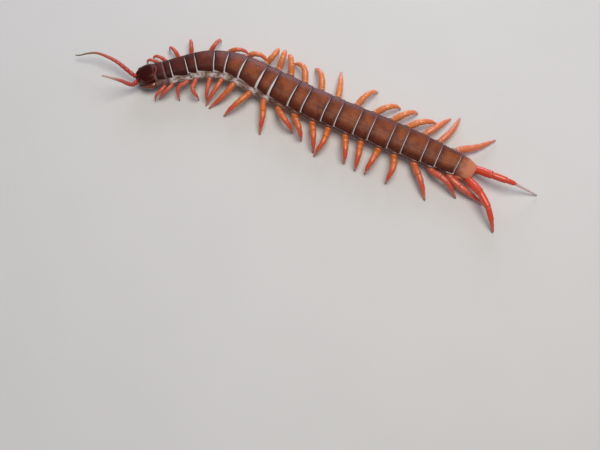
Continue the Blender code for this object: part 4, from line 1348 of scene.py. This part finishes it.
def make_skin(settings, finish):
    """The one soft skin of the trunk: under the plates, in their joints and folded on the flanks."""
    profile = skin_profile(SKIN_HALF_POINTS)
    collars = {side: leg_collars(side) for side in SIDES}
    fold_depth = settings.fold_depth / MM
    count = int((TRUNK_LENGTH - SKIN_ROWS_END) / SKIN_STEP)
    distances = [*SKIN_STARTS, *[index * SKIN_STEP for index in range(count + 1)], TRUNK_LENGTH - SKIN_END]
    last = len(distances) - 1

    def put(column, row):
        (reach, level, share), side_sign = round_section(profile, column)
        distance = distances[row]
        width, top, bottom = section(distance)
        from_joint = nearest_joint(distance)
        flank = ramp(level, *FLANK_TOP) * ramp(level, *FLANK_FOOT)
        back = ramp(level, *BACK_FROM)
        deep = SKIN_SUNK - (SKIN_SUNK - SKIN_IN_JOINT) * bump(from_joint, JOINT_RISE_WIDTH)
        pinch = bump(from_joint, PINCH_WIDTH)
        stands_out = swell(distance, side_sign) * share * (1.0 - PINCH_NARROWING * pinch)
        side = (width - deep * back) * reach + stands_out
        height = bottom + (top - bottom) * level - deep * back * level
        spot = place(distance, side_sign * side, height)
        lines = fold_lines(distance, level, side_sign)
        from_root = min((spot - root).length - radius for root, radius in collars[side_sign])
        collar = 1.0 - ramp(from_root, *LEG_COLLAR_FADE)
        strength = FOLD_STRENGTH_REAR + FOLD_STRENGTH_GAIN * (1.0 - ramp(distance, *FOLDS_FADE))
        lumps = COARSE_LUMPS[0] * noise.noise(spot * COARSE_LUMPS[1])
        lumps = lumps + FINE_LUMPS[0] * noise.noise(spot * FINE_LUMPS[1])
        push = flank * (lumps - lines) * fold_depth
        push = (push - flank * pinch * PINCH_DEPTH) * strength * (1.0 - SMOOTH_UNDER_COLLAR * collar)
        push += flank * collar * (LEG_COLLAR_RISE + LEG_HOOD_RISE * ramp(level, *LEG_HOOD_FROM))
        side += push
        height += push * PUSH_UPWARDS
        if row in (0, last):
            side = 0.0
            height = (top + bottom) / 2.0
        # How much painted shade the skin gets: in its folds and round the leg roots
        fold = flank * min(lines * (1.0 - collar) + hill(from_root, LEG_ROOT_SHADE), 1.0)
        values = {
            "fold": fold,
            "tail": min(max(distance / TRUNK_LENGTH, 0.0), 1.0),
            "flank": flank,
            "right": side_sign * reach * back,
            "under": ramp(level, *UNDER_FROM),
            "joint": bump(from_joint, JOINT_FLARE_WIDTH) * (1.0 - ramp(distance, *JOINT_FLARES_FADE)),
        }
        return place(distance, side_sign * side, height), values

    bm = sheet(2 * SKIN_HALF_POINTS, last, put, rolled=True)
    make_piece("trunk_skin", bm, finish, TRUNK_NODES)


def flank_point(distance, side, level, stand_off):
    """A point on the soft flank and the direction in which the flank faces there."""
    width, top, bottom = section(distance)
    off_middle = level - FLANK_LEVEL
    reach = width * FLANK_REACH + swell(distance, side) * (1.0 - abs(off_middle) * 2.0)
    height = bottom + (top - bottom) * level
    inner = place(distance, side * (reach - 1.0), height)
    outer = place(distance, side * reach, height + off_middle * 2.0)
    facing = (outer - inner).normalized()
    return place(distance, side * reach, height) + facing * stand_off, facing


def make_spiracles(finish):
    """The slit-like breathing holes on the flanks, each a cup darkened with painted shade in a raised rim.
    """
    parts = []
    for number in SPIRACLE_SEGMENTS:
        middle = MIDDLES[number - 1]
        for side in SIDES:
            centre, facing = flank_point(middle, side, SPIRACLE_LEVEL, SPIRACLE_STAND_OFF)
            along = tailward(middle)
            over = facing.cross(along)
            rings = []
            for radius, rise, dark in SPIRACLE_RINGS:
                # Painted shade, deepest inside the hole
                values = {"fold": dark, "flank": 1.0, "right": 0.0, "tail": number / (LAST + 1)}
                rings.append((UP * rise, UP, RIGHTWARD, radius, values))
            bm = tube(SPIRACLE_SIDES, shut(rings))
            for vert in bm.verts:
                x, y, z = vert.co
                spot = centre + along * x * SPIRACLE_HALF_LENGTH + over * y * SPIRACLE_HALF_HEIGHT
                vert.co = spot + facing * z
            bmesh.ops.recalc_face_normals(bm, faces=bm.faces)
            parts.append(bm)
    make_piece("spiracles", gather(parts), finish, TRUNK_NODES)


def make_rear_lobes(finish):
    """The hip lobes under the last plate, each drawn out in a spined point."""
    back = tailward(TRUNK_LENGTH)
    across = rightward(TRUNK_LENGTH)
    lobe_looks = {"across": 0.5, "front": 2.0, "rear": 2.0, "tail": 1.0}
    spine_looks = {"across": 0.5, "front": 0.0, "rear": 2.0, "tail": 0.5}
    past_end, point_side, point_height = LOBE_POINT
    apart, above = LOBE_SPINE_SPREAD
    parts = []
    for side in SIDES:
        rings = []
        for before_end, sideways, height, radius in LOBE_RINGS:
            centre = place(TRUNK_LENGTH - before_end, side * sideways, height)
            rings.append((centre, back, across, radius, lobe_looks))
        parts.append(tube(LOBE_SIDES, shut(rings)))
        for rise, lean in LOBE_SPINES:
            sideways = side * (point_side + lean * apart)
            base = place(TRUNK_LENGTH + past_end, sideways, point_height + rise * above)
            out = back + across * side * lean * LOBE_SPINE_LEAN + UP * rise
            parts.append(spine(base, out, LOBE_SPINE_RADIUS, LOBE_SPINE_LENGTH, spine_looks))
    make_piece("hip_lobes", gather(parts), finish, [trunk_node(LAST)])


def head_stops():
    """The head's rings with smooth ones between them: (forward, half width, back, edge)."""
    sizes = smooth_curve([Vector(ring[1:]) for ring in HEAD_RINGS], CURVE_STEPS)
    places = smooth_curve([Vector((ring[0], 0.0, 0.0)) for ring in HEAD_RINGS], CURVE_STEPS)
    return [(where.x, *size) for where, size in zip(places, sizes)]


def half_profile(outline, steps):
    """Even points along the smooth half section that an outline of (sideways, up) gives."""
    points = [Vector((x, y, 0.0)) for x, y in outline]
    length, read = curve_reader(smooth_curve(points, CURVE_STEPS))
    return [read(length * step / steps)[0] for step in range(steps + 1)]


def head_relief(forward, side, from_rear, above):
    """Height of the fine forms of the head: its rolled rim, midline, two sutures and brow."""
    crest = RIM_CREST_HEIGHT * hill(from_rear, RIM_CREST)
    furrow = RIM_FURROW_DEPTH * hill(from_rear, RIM_FURROW)
    lift = above * (crest - furrow)
    lift -= above * RIM_ROLL * rolled_off(from_rear, RIM_ROLL)
    lift -= MIDLINE_DEPTH * above * bump(side, MIDLINE_WIDTH) * ramp(forward, *MIDLINE_FADES)
    beside_suture = abs(side) - HEAD_SUTURE_PLACE - HEAD_SUTURE_SPREADS * forward
    suture = HEAD_SUTURE_DEPTH * above * bump(beside_suture, HEAD_SUTURE_WIDTH)
    lift -= suture * ramp(forward, *HEAD_SUTURE_FADES)
    lift -= BROW_DIP * above * bump(side, BROW_DIP_WIDTH) * hill(forward, BROW_DIP_PLACE)
    lift += BROW_BULGE * above * hill(abs(side), BROW_BULGE_PLACE) * hill(forward, BROW_BULGE_FORWARD)
    return lift


def make_head_plate(settings, finish):
    """The head: a domed shield with a rim over the first plate, and a flat underside."""
    shares = crowded(HEAD_ROWS, HEAD_ROWS_DENSE, *HEAD_ROW_CROWDING)
    rim_reach = settings.rim_reach / MM
    back = HEAD_RINGS[0][0]
    front = HEAD_RINGS[-1][0]
    rows = len(shares) + 1
    stops = head_stops()
    profile = half_profile(HEAD_OUTLINE, HEAD_HALF_POINTS)

    def put(column, row):
        (reach, level, _), side_sign = round_section(profile, column)
        share = shares[min(max(row - 1, 0), len(shares) - 1)]
        rear = HEAD_BACK_EDGE
        if level > 0.0:
            rear = -rim_reach * (1.0 - reach ** HEAD_BACK_POWER) + HEAD_BACK_EDGE * reach ** 2
        forward = rear + (front - rear) * share
        width, top, edge = read_stops(stops, max(forward, back))
        from_rear = forward - rear
        tall = top - edge if level >= 0.0 else edge - HEAD_UNDERSIDE
        height = edge + tall * level
        side = width * reach
        above = ramp(level, *HEAD_ABOVE)
        lift = head_relief(forward, side, from_rear, above)
        lift += HEAD_UNEVEN * noise.noise(place(-forward, side_sign * side, height) * HEAD_UNEVEN_PER_MM)
        if row in (0, rows):
            side = 0.0
            height = edge + HEAD_FRONT_CENTRE
            lift = 0.0
        ahead = ramp(forward, *HEAD_FRONT_FROM)
        values = {
            "side": min(reach ** 2.0 * HEAD_SIDE_WARMTH + ahead * HEAD_FRONT_WARMTH, 1.0),
            # Painted highlight along the rolled rim
            "rim": above * hill(from_rear, RIM_HIGHLIGHT),
            "glow": above * (1.0 - ramp(from_rear, *HEAD_GLOW_FADES)),
        }
        return place(-forward, side_sign * side * (1.0 + lift * LIFT_WIDENS), height + lift), values

    bm = sheet(2 * HEAD_HALF_POINTS, rows, put, rolled=True)
    make_piece("head_plate", bm, finish, ["head"])


def eye_frame(side):
    """Centre, forward, upward and facing directions of one eye group."""
    forward, sideways, height = EYE_PLACE
    centre = place(-forward, side * sideways, height)
    ahead, out, above = EYE_FACING
    origin = place(-forward, 0.0, height)
    facing = (place(-forward - ahead, side * out, height + above) - origin).normalized()
    along = (-tailward(0.0) - facing * facing.dot(-tailward(0.0))).normalized()
    return centre, along, facing.cross(along), facing


def make_eyes(settings, skin, lens):
    """Four lenses a side on a low cushion of cuticle."""
    radius = settings.lens_radius / MM
    for side in SIDES:
        centre, along, over, facing = eye_frame(side)
        nodes = ["eye_" + SIDE_NAMES[side]]
        axes = (along, over, facing)
        parts = [dome(centre, axes, EYE_CUSHION, CUSHION_FACETS, {"side": 0.2, "rim": 0.0})]
        lenses = []
        for step_along, step_over in LENS_STEPS:
            offset = along * step_along + over * step_over * LENS_RHOMBUS
            spot = centre + offset * LENS_SPREAD + facing * LENS_RISE
            rim = [radius * share for share in LENS_RIM]
            # The lens rims take a little of the painted rim highlight
            parts.append(dome(spot, axes, rim, LENS_RIM_FACETS, {"side": 0.5, "rim": 0.25}))
            lenses.append(dome(spot, axes, (radius, radius, radius), LENS_FACETS, {}))
        make_piece("eye_cushion_" + SIDE_NAMES[side], gather(parts), skin, nodes)
        make_piece("eye_lenses_" + SIDE_NAMES[side], gather(lenses), lens, nodes)


def make_antenna(side, finish):
    """One antenna of seventeen articles, each a little swollen before its outer end."""
    points = []
    for forward, sideways, height in ANTENNA_POINTS[side]:
        points.append(place(-forward, sideways, height, level=True))
    length, read = curve_reader(smooth_curve(points, LONG_CURVE_STEPS))
    shares = [ANTENNA_ARTICLE_SHRINK ** index for index in range(ANTENNA_ARTICLES)]
    pale = float(side == LEFT)
    rings = []
    reached = 0.0
    for number, share in enumerate(shares):
        article = length * share / sum(shares)
        for inside, swollen, groove in ANTENNA_ARTICLE:
            distance = reached + article * inside
            fade = distance / length
            radius = read_stops(ANTENNA_RADII[side], fade)[0]
            if number == ANTENNA_ARTICLES - 1:
                radius *= math.sqrt(max(1.0 - (inside * ANTENNA_TIP_ROUNDS) ** 3, ANTENNA_TIP_LEAST))
            centre, direction = read(distance)
            values = {"along": fade, "groove": groove, "pale": pale}
            rings.append((centre, direction, level_across(direction), radius * swollen, values))
        reached += article
    name = SIDE_NAMES[side]
    make_piece(f"{name}_antenna", tube(ANTENNA_SIDES, shut(rings)), finish, [f"antenna_{name}"])


def make_venom_claws(finish):
    """The two curved venom claws: a stout base, two short rings and a sharp fang."""
    radii = smooth_curve([Vector((radius, 0.0, 0.0)) for *_, radius in VENOM_CLAW], LONG_CURVE_STEPS)
    tooth_forward, tooth_side, tooth_height = FANG_TOOTH
    tooth_looks = {"along": 0.8, "groove": 0.0}
    for side in SIDES:
        name = SIDE_NAMES[side]
        centres = [place(-forward, side * sideways, height) for forward, sideways, height, _ in VENOM_CLAW]
        length, read = curve_reader(smooth_curve(centres, LONG_CURVE_STEPS))
        rings = []
        for step in range(VENOM_STEPS + 1):
            share = step / VENOM_STEPS
            centre, direction = read(length * share)
            groove = max(hill(share, joint) for joint in VENOM_JOINTS)
            sharpen = 1.0 - ramp(share, FANG_FROM, FANG_OVER) * FANG_THINNING
            plain = radii[round(share * (len(radii) - 1))].x
            radius = plain * (1.0 - VENOM_WAIST * groove) * sharpen
            values = {"along": share, "groove": groove}
            rings.append((centre, direction, level_across(direction), radius, values))
        root = place(-tooth_forward, side * tooth_side, tooth_height)
        inward = -rightward(0.0) * side - tailward(0.0) * FANG_TOOTH_LEAN
        tooth = spine(root, inward, FANG_TOOTH_RADIUS, FANG_TOOTH_LENGTH, tooth_looks, FANG_TOOTH_SIDES)
        claw = gather([tube(VENOM_SIDES, shut(rings)), tooth])
        make_piece(f"{name}_venom_claw", claw, finish, [f"venom_claw_{name}"])


def make_claw_plate(finish, horn):
    """The plate under the head between the venom claws, with its two rows of teeth."""
    profile = half_profile(COLLAR_OUTLINE, COLLAR_HALF_POINTS)
    rows = COLLAR_ROWS
    first = COLLAR_RINGS[0][0]
    end = COLLAR_RINGS[-1][0]

    def put(column, row):
        (reach, level, _), side_sign = round_section(profile, column)
        share = min(max((row - 1) / (rows - 2), 0.0), 1.0)
        forward = first + (end - first) * share
        side = read_stops(COLLAR_RINGS, forward)[0] * reach
        height = COLLAR_BOTTOM + (COLLAR_TOP - COLLAR_BOTTOM) * level
        height += CARRIER_MIDRIB * bump(side, CARRIER_MIDRIB_WIDTH) * (1.0 - level)
        if row in (0, rows):
            side = 0.0
            height = (COLLAR_TOP + COLLAR_BOTTOM) / 2.0
        seam = CARRIER_SEAM * bump(side, CARRIER_SEAM_WIDTH) * (1.0 - level)
        return place(-forward, side_sign * side, height), {"along": 0.15, "groove": seam}

    nodes = ["venom_claw_plate"]
    bm = sheet(2 * COLLAR_HALF_POINTS, rows, put, rolled=True)
    make_piece("claw_carrier", bm, finish, nodes)
    tooth_forward, tooth_side, tooth_height = FIRST_TOOTH
    teeth = []
    for side in SIDES:
        for step in range(TEETH):
            forward = -tooth_forward - TOOTH_STEP_BACK * step
            base = place(forward, side * (tooth_side + TOOTH_SPACING * step), tooth_height)
            out = -tailward(0.0) + rightward(0.0) * side * (step - TEETH // 2) * TOOTH_FAN
            teeth.append(spine(base, out, TOOTH_RADIUS, TOOTH_LENGTH, {"along": 0.8}))
    make_piece("claw_teeth", gather(teeth), horn, nodes)


def leg_base(pair, side):
    """Where a leg leaves the flank, and its distance along the trunk."""
    index = pair - 1
    if index == LAST:
        distance = TRUNK_LENGTH - ULTIMATE_BASE
        return distance, place(distance, side * ULTIMATE_SPREAD, ULTIMATE_BASE_HEIGHT)
    share = DRAWN_BASES[side].get(pair, LEG_BASE_SHARE)
    distance = STARTS[index] + PLATE_LENGTHS[index] * share
    sideways = half_width(distance) * LEG_BASE_REACH + swell(distance, side)
    return distance, place(distance, side * sideways, BELLY_HEIGHT + body_height(distance) * LEG_LEVEL)


def swung(distance, side, swing):
    """Level unit vector out of the body at a swing towards the tail, in degrees."""
    angle = math.radians(swing)
    return rightward(distance) * side * math.cos(angle) + tailward(distance) * math.sin(angle)


def leg_angles(lengths, plans, fixed_plan, drop_to_floor, reach):
    """Slopes of the articles whose foot comes down to the floor at the reach.

    The first slope and the drop to the last are the two unknowns. For each drop the first
    slope follows from the height, and the drop is found by halving its range.
    """
    low, high = 0.0, MOST_DROP
    slopes = []
    for _ in range(HALVINGS):
        drop = math.radians((low + high) / 2.0)
        x = sum(length * math.cos(share * drop) for length, share in zip(lengths, ARTICLE_DROP))
        y = sum(-length * math.sin(share * drop) for length, share in zip(lengths, ARTICLE_DROP))
        sine = max(min(-drop_to_floor / math.hypot(x, y), 1.0), -1.0)
        first = math.asin(sine) - math.atan2(y, x)
        slopes = [first - share * drop for share in ARTICLE_DROP]
        foot = fixed_plan.copy()
        for length, plan, slope in zip(lengths, plans, slopes):
            foot += plan * length * math.cos(slope)
        if foot.length > reach:
            low = (low + high) / 2.0
        else:
            high = (low + high) / 2.0
    return slopes


def leg_joints(pair, side):
    """Joint points, directions and radii of one leg's articles, from its buried root to its claw."""
    index = pair - 1
    near_swing, foot_swing, reach = LEG_POSES[side][index]
    ultimate = index == LAST
    size = LEG_SIZES[index]
    girth = size * LEG_GIRTHS[index]
    articles = ULTIMATE_ARTICLES[side] if ultimate else WALKING_ARTICLES
    lengths = [length * size for length, radius in articles]
    radii = [radius * girth for length, radius in articles]
    coxa_length = (ULTIMATE_COXA_LENGTH if ultimate else COXA_LENGTH) * size
    coxa_radius = (ULTIMATE_COXA_RADIUS if ultimate else COXA_RADIUS) * girth
    distance, base = leg_base(pair, side)
    coxa_swing = near_swing if ultimate else near_swing * COXA_SWING_SHARE
    coxa_plan = swung(distance, side, coxa_swing)
    swings = [near_swing + (foot_swing - near_swing) * share for share in ARTICLE_TURN]
    plans = [swung(distance, side, swing) for swing in swings]
    slope = math.radians(CLAW_SLOPE)
    claw_length = CLAW_LENGTH * size
    fixed = coxa_plan * coxa_length + plans[-1] * claw_length * math.cos(slope)
    slopes = leg_angles(lengths, plans, fixed, base.z - claw_length * math.sin(slope), reach)
    directions = [coxa_plan]
    directions += [plan * math.cos(angle) + UP * math.sin(angle) for plan, angle in zip(plans, slopes)]
    directions.append(plans[-1] * math.cos(slope) - UP * math.sin(slope))
    joints = [base - coxa_plan * COXA_BURIED, base + coxa_plan * coxa_length]
    for direction, length in zip(directions[1:], lengths + [claw_length]):
        joints.append(joints[-1] + direction * length)
    return joints, directions, [coxa_radius] + radii


def corner_reach(index, joints, radii):
    """How far from a joint the leg's bend is spread."""
    radius = radii[min(index, len(radii) - 1)]
    before = (joints[index] - joints[index - 1]).length
    after = (joints[index + 1] - joints[index]).length
    return min(CORNER_REACH * radius, CORNER_SHARE * before, CORNER_SHARE * after)


def read_leg(joints, directions, radii, article, share):
    """Point and direction of a leg's middle line at a share of one article, rounded at the joints."""
    length = (joints[article + 1] - joints[article]).length
    here = share * length
    left = length - here
    if article > 0:
        reach = corner_reach(article, joints, radii)
        if here < reach:
            turn = 0.5 + 0.5 * here / reach
            return bend_at(joints[article], directions[article - 1], directions[article], reach, turn)
    if article + 2 < len(joints):
        reach = corner_reach(article + 1, joints, radii)
        if left < reach:
            turn = 0.5 - 0.5 * left / reach
            return bend_at(joints[article + 1], directions[article], directions[article + 1], reach, turn)
    return joints[article] + directions[article] * here, directions[article]


def bend_at(corner, before, after, reach, turn):
    """Point and direction on the rounded corner between two articles."""
    start = corner - before * reach
    end = corner + after * reach
    point = start * (1.0 - turn) ** 2 + corner * 2.0 * turn * (1.0 - turn) + end * turn ** 2
    return point, (before * (1.0 - turn) + after * turn).normalized()


def leg_rings(joints, directions, radii, looks):
    """Rings of one leg from its root to its last joint, with its named values."""
    lengths = [(end - start).length for start, end in zip(joints, joints[1:])]
    total = sum(lengths[1:-1])
    rings = []
    reached = 0.0
    articles = len(radii)
    for article in range(articles):
        before = radii[max(article - 1, 0)]
        after = radii[min(article + 1, articles - 1)]
        radius = radii[article]
        starts = (before + radius * 2.0) / 3.0
        ends = (after + radius * 2.0) / 3.0
        for share, size, groove in ARTICLE_SHAPE if article else ROOT_SHAPE:
            centre, direction = read_leg(joints, directions, radii, article, share)
            girth = (starts + (ends - starts) * share) * size
            along = ROOT_SPAN * (share - ROOT_RING)
            if article:
                along = (reached + lengths[article] * share) / total
            values = {"along": along, "groove": groove, **looks}
            rings.append((centre, direction, level_across(direction), girth, values))
        if article:
            reached += lengths[article]
    return rings


def leg_tone(pair, side):
    """How pink a leg is: the front ones and the last walking ones are, most of all on the left."""
    if pair > LAST:
        return 0.0
    return max(1.0 - ramp(pair, *PINK_FRONT), REAR_PINK[side] * ramp(pair, *PINK_REAR))


def painted_light_share(pair, side):
    """How much painted light a leg gets: those behind the bend on the right side are painted brighter, as if
    lit.
    """
    return ramp(pair, *PAINTED_LIGHT_FROM) if side == RIGHT and pair <= LAST else 0.0


def make_leg(pair, side, settings, finish, horn):
    """One leg of seven articles with its spurs, and its claw."""
    joints, directions, radii = leg_joints(pair, side)
    name = SIDE_NAMES[side]
    node = f"leg_{name}_{pair:02d}"
    last = pair == LAST + 1
    looks = {
        "tone": leg_tone(pair, side),
        "pale": float(last and side == RIGHT),
        "bright": painted_light_share(pair, side),
    }
    rings = leg_rings(joints, directions, radii, looks)
    tip = rings[-1]
    rings.append((joints[-2], tip[1], tip[2], tip[3] * FOOT_TIP_SHARE, tip[4]))
    parts = [tube(settings.sides, shut(rings))]
    values = {"along": 0.6, "groove": 0.0, **looks}
    for article in SPURRED_ARTICLES:
        thick = radii[article]
        direction = directions[article]
        root = joints[article + 1] - direction * SPUR_BACK - UP * thick * SPUR_LOW
        radius = SPUR_RADIUS_SHARE * thick + SPUR_RADIUS_LEAST
        parts.append(spine(root, direction * SPUR_LEAN - UP, radius, SPUR_LENGTH * thick, values))
    if last:
        parts += last_leg_spines(joints, directions, radii, side, values)
    make_piece(f"{name}_leg_{pair:02d}", gather(parts), finish, [node])
    make_claw(pair, side, joints, directions, radii, horn)


def last_leg_spines(joints, directions, radii, side, values):
    """Short spines on the lower and inner faces of the first long article."""
    along = directions[1]
    across = level_across(along)
    over = along.cross(across)
    spines = []
    for share, turn in LEG_SPINES:
        angle = math.radians(turn)
        out = across * math.cos(angle) * side + over * math.sin(angle)
        root = joints[1].lerp(joints[2], share) + out * radii[1] * LEG_SPINE_ROOT
        lean = out + along * LEG_SPINE_LEAN
        spines.append(spine(root, lean, LEG_SPINE_RADIUS, LEG_SPINE_LENGTH, values))
    return spines


def make_claw(pair, side, joints, directions, radii, finish):
    """The curved dark claw of one leg with two fine side spines, down to the floor."""
    start = joints[-2]
    end = joints[-1]
    radius = radii[-1] * CLAW_GIRTH
    direction = directions[-2]
    across = level_across(direction)
    length = (end - start).length
    down = Vector((end.x, end.y, CLAW_FLOOR))
    control = start + direction * length * CLAW_ARCH
    root = start - direction * CLAW_BURIED
    rings = [(root, direction, across, radius * CLAW_BURIED_GIRTH, {"along": 0.0})]
    for step in range(CLAW_STEPS + 1):
        t = step / CLAW_STEPS
        centre = start * (1.0 - t) ** 2 + control * 2.0 * t * (1.0 - t) + down * t ** 2
        ahead = ((control - start) * (1.0 - t) + (down - control) * t).normalized()
        size = radius * (1.0 - t) ** CLAW_THINNING + CLAW_POINT
        rings.append((centre, ahead, level_across(ahead), size, {"along": t}))
    parts = [tube(CLAW_SIDES, shut(rings))]
    for lean in (-1.0, 1.0):
        base = start + across * lean * radius * SIDE_SPINE_SPREAD
        out = (down - start).normalized() + across * lean * SIDE_SPINE_LEAN
        girth = radius * SIDE_SPINE_GIRTH
        parts.append(spine(base, out, girth, length * SIDE_SPINE_LENGTH, {"along": 0.3}, SIDE_SPINE_SIDES))
    name = SIDE_NAMES[side]
    make_piece(f"{name}_claw_{pair:02d}", gather(parts), finish, [f"leg_{name}_{pair:02d}"])


class CENTIPEDE_OT_trunk(bpy.types.Operator):
    """Makes the soft skin and the breathing holes in its flanks"""

    bl_idname = "centipede.trunk"
    bl_label = "Skin and flanks"

    def execute(self, context):
        settings = context.scene.centipede_trunk
        skin = skin_finish(settings)
        make_skin(settings, skin)
        make_spiracles(skin)
        return {"FINISHED"}


class CENTIPEDE_OT_plates(bpy.types.Operator):
    """Makes the back plates, the belly plates and the hip lobes"""

    bl_idname = "centipede.plates"
    bl_label = "Plates"

    def execute(self, context):
        settings = context.scene.centipede_trunk
        back = plate_finish(settings)
        belly = belly_finish(settings)
        for index in range(LAST + 1):
            make_back_plate(index, settings, back)
            make_belly_plate(index, settings, belly)
        make_rear_lobes(back)
        return {"FINISHED"}


class CENTIPEDE_OT_head(bpy.types.Operator):
    """Makes the head plate, the eyes and the antennae"""

    bl_idname = "centipede.head"
    bl_label = "Head"

    def execute(self, context):
        settings = context.scene.centipede_head
        skin = head_finish(settings)
        make_head_plate(settings, skin)
        make_eyes(settings, skin, lens_finish(settings))
        antenna = antenna_finish(settings)
        for side in SIDES:
            make_antenna(side, antenna)
        return {"FINISHED"}


class CENTIPEDE_OT_venom_claws(bpy.types.Operator):
    """Makes the venom claws, their plate and its teeth"""

    bl_idname = "centipede.venom_claws"
    bl_label = "Venom claws"

    def execute(self, context):
        settings = context.scene.centipede_head
        cuticle = venom_finish(settings)
        make_venom_claws(cuticle)
        make_claw_plate(cuticle, horn_finish(settings))
        return {"FINISHED"}


class CENTIPEDE_OT_legs(bpy.types.Operator):
    """Makes the twenty-one pairs of legs and their claws"""

    bl_idname = "centipede.legs"
    bl_label = "Legs"

    def execute(self, context):
        settings = context.scene.centipede_legs
        near = settings.last_near
        walking = leg_finish("leg_cuticle", settings.leg_near, settings.leg_middle, settings.leg_foot,
                             settings)
        last = leg_finish("last_leg_cuticle", near, near, settings.last_foot, settings)
        horn = horn_finish(context.scene.centipede_head)
        for pair in range(1, LAST + 2):
            for side in SIDES:
                make_leg(pair, side, settings, last if pair == LAST + 1 else walking, horn)
        return {"FINISHED"}


class CENTIPEDE_OT_stage(bpy.types.Operator):
    """Makes the floor, the lights and the camera"""

    bl_idname = "centipede.stage"
    bl_label = "Stage"

    def execute(self, context):
        settings = context.scene.centipede_stage
        make_floor(settings)
        make_lights(settings)
        make_camera(settings)
        return {"FINISHED"}


def make_floor(settings):
    """A pale floor that sweeps up far behind the object on all sides."""
    bm = bmesh.new()
    verts = [bm.verts.new((out, 0.0, up)) for out, up in FLOOR_PROFILE]
    edges = [bm.edges.new(pair) for pair in zip(verts, verts[1:])]
    bmesh.ops.spin(bm, geom=verts + edges, cent=(0.0, 0.0, 0.0), axis=UP, angle=math.tau,
                   steps=FLOOR_STEPS, use_merge=True)
    bmesh.ops.remove_doubles(bm, verts=bm.verts, dist=WELD * MM)
    bmesh.ops.recalc_face_normals(bm, faces=bm.faces)
    mesh = bpy.data.meshes.new("floor")
    bm.to_mesh(mesh)
    bm.free()
    if mesh.polygons[0].normal.z < 0.0:
        mesh.flip_normals()
    mesh.shade_smooth()
    finish = Finish("pale_floor")
    cloud = finish.noise(60.0, 3.0)
    base = finish.mix(cloud, settings.floor, shade(settings.floor, 0.93))
    mesh.materials.append(finish.done(base, 0.75, finish.noise(1.5, 3.0), 0.03))
    floor = bpy.data.objects.new("floor", mesh)
    bpy.context.scene.collection.objects.link(floor)


def make_lights(settings):
    """Soft studio light: a large key above, a cool light from the far side, and an even sky."""
    world = bpy.data.worlds.new("studio")
    world.use_nodes = True
    background = world.node_tree.nodes["Background"]
    background.inputs["Color"].default_value = colour(SKY_TINT)
    background.inputs["Strength"].default_value = settings.sky
    bpy.context.scene.world = world
    bpy.context.scene.view_settings.view_transform = "Standard"
    lights = (("key", settings.key_power, *KEY_LIGHT), ("far_fill", settings.fill_power, *FAR_LIGHT))
    for name, power, spot, size, tint in lights:
        data = bpy.data.lights.new(name, "AREA")
        data.shape = "DISK"
        data.size = size
        data.energy = power
        data.color = tint
        lamp = bpy.data.objects.new(name, data)
        lamp.location = spot
        lamp.rotation_euler = (-Vector(spot)).to_track_quat("-Z", "Y").to_euler()
        bpy.context.scene.collection.objects.link(lamp)


def make_camera(settings):
    """The camera looks down at the floor from the near side."""
    data = bpy.data.cameras.new("camera")
    data.lens = settings.lens
    data.sensor_width = SENSOR_WIDTH
    data.clip_start = CLIP_START
    data.clip_end = CLIP_END
    camera = bpy.data.objects.new("camera", data)
    elevation = math.radians(CAMERA_ELEVATION)
    x, y = CAMERA_AIM
    back = CAMERA_DISTANCE * math.cos(elevation)
    camera.location = (x, y - back, CAMERA_DISTANCE * math.sin(elevation))
    camera.rotation_euler = (math.pi / 2.0 - elevation, 0.0, 0.0)
    bpy.context.scene.collection.objects.link(camera)
    bpy.context.scene.camera = camera


class CENTIPEDE_PT_panel(bpy.types.Panel):
    """The centipede's pieces in the sidebar"""

    bl_idname = "CENTIPEDE_PT_panel"
    bl_label = "Giant centipede"
    bl_space_type = "VIEW_3D"
    bl_region_type = "UI"
    bl_category = "Centipede"

    def draw(self, context):
        layout = self.layout
        for operator in OPERATORS:
            layout.operator(operator.bl_idname)
        for group, kind in SETTINGS.items():
            box = layout.box()
            for name in kind.__annotations__:
                box.prop(getattr(context.scene, group), name)


SETTINGS = {
    "centipede_trunk": CentipedeTrunkSettings,
    "centipede_head": CentipedeHeadSettings,
    "centipede_legs": CentipedeLegSettings,
    "centipede_stage": CentipedeStageSettings,
}
OPERATORS = (CENTIPEDE_OT_trunk, CENTIPEDE_OT_plates, CENTIPEDE_OT_head, CENTIPEDE_OT_venom_claws,
             CENTIPEDE_OT_legs, CENTIPEDE_OT_stage)
CLASSES = (*SETTINGS.values(), *OPERATORS, CENTIPEDE_PT_panel)


def register():
    """Makes the settings, operators and panel known."""
    for kind in CLASSES:
        bpy.utils.register_class(kind)
    for group, kind in SETTINGS.items():
        setattr(bpy.types.Scene, group, PointerProperty(type=kind))


def unregister():
    """Takes them away again."""
    for group in SETTINGS:
        delattr(bpy.types.Scene, group)
    for kind in reversed(CLASSES):
        bpy.utils.unregister_class(kind)


def main():
    """Builds every piece in order."""
    register()
    bpy.ops.centipede.trunk()
    bpy.ops.centipede.plates()
    bpy.ops.centipede.head()
    bpy.ops.centipede.venom_claws()
    bpy.ops.centipede.legs()
    bpy.ops.centipede.stage()


if __name__ == "__main__":
    main()
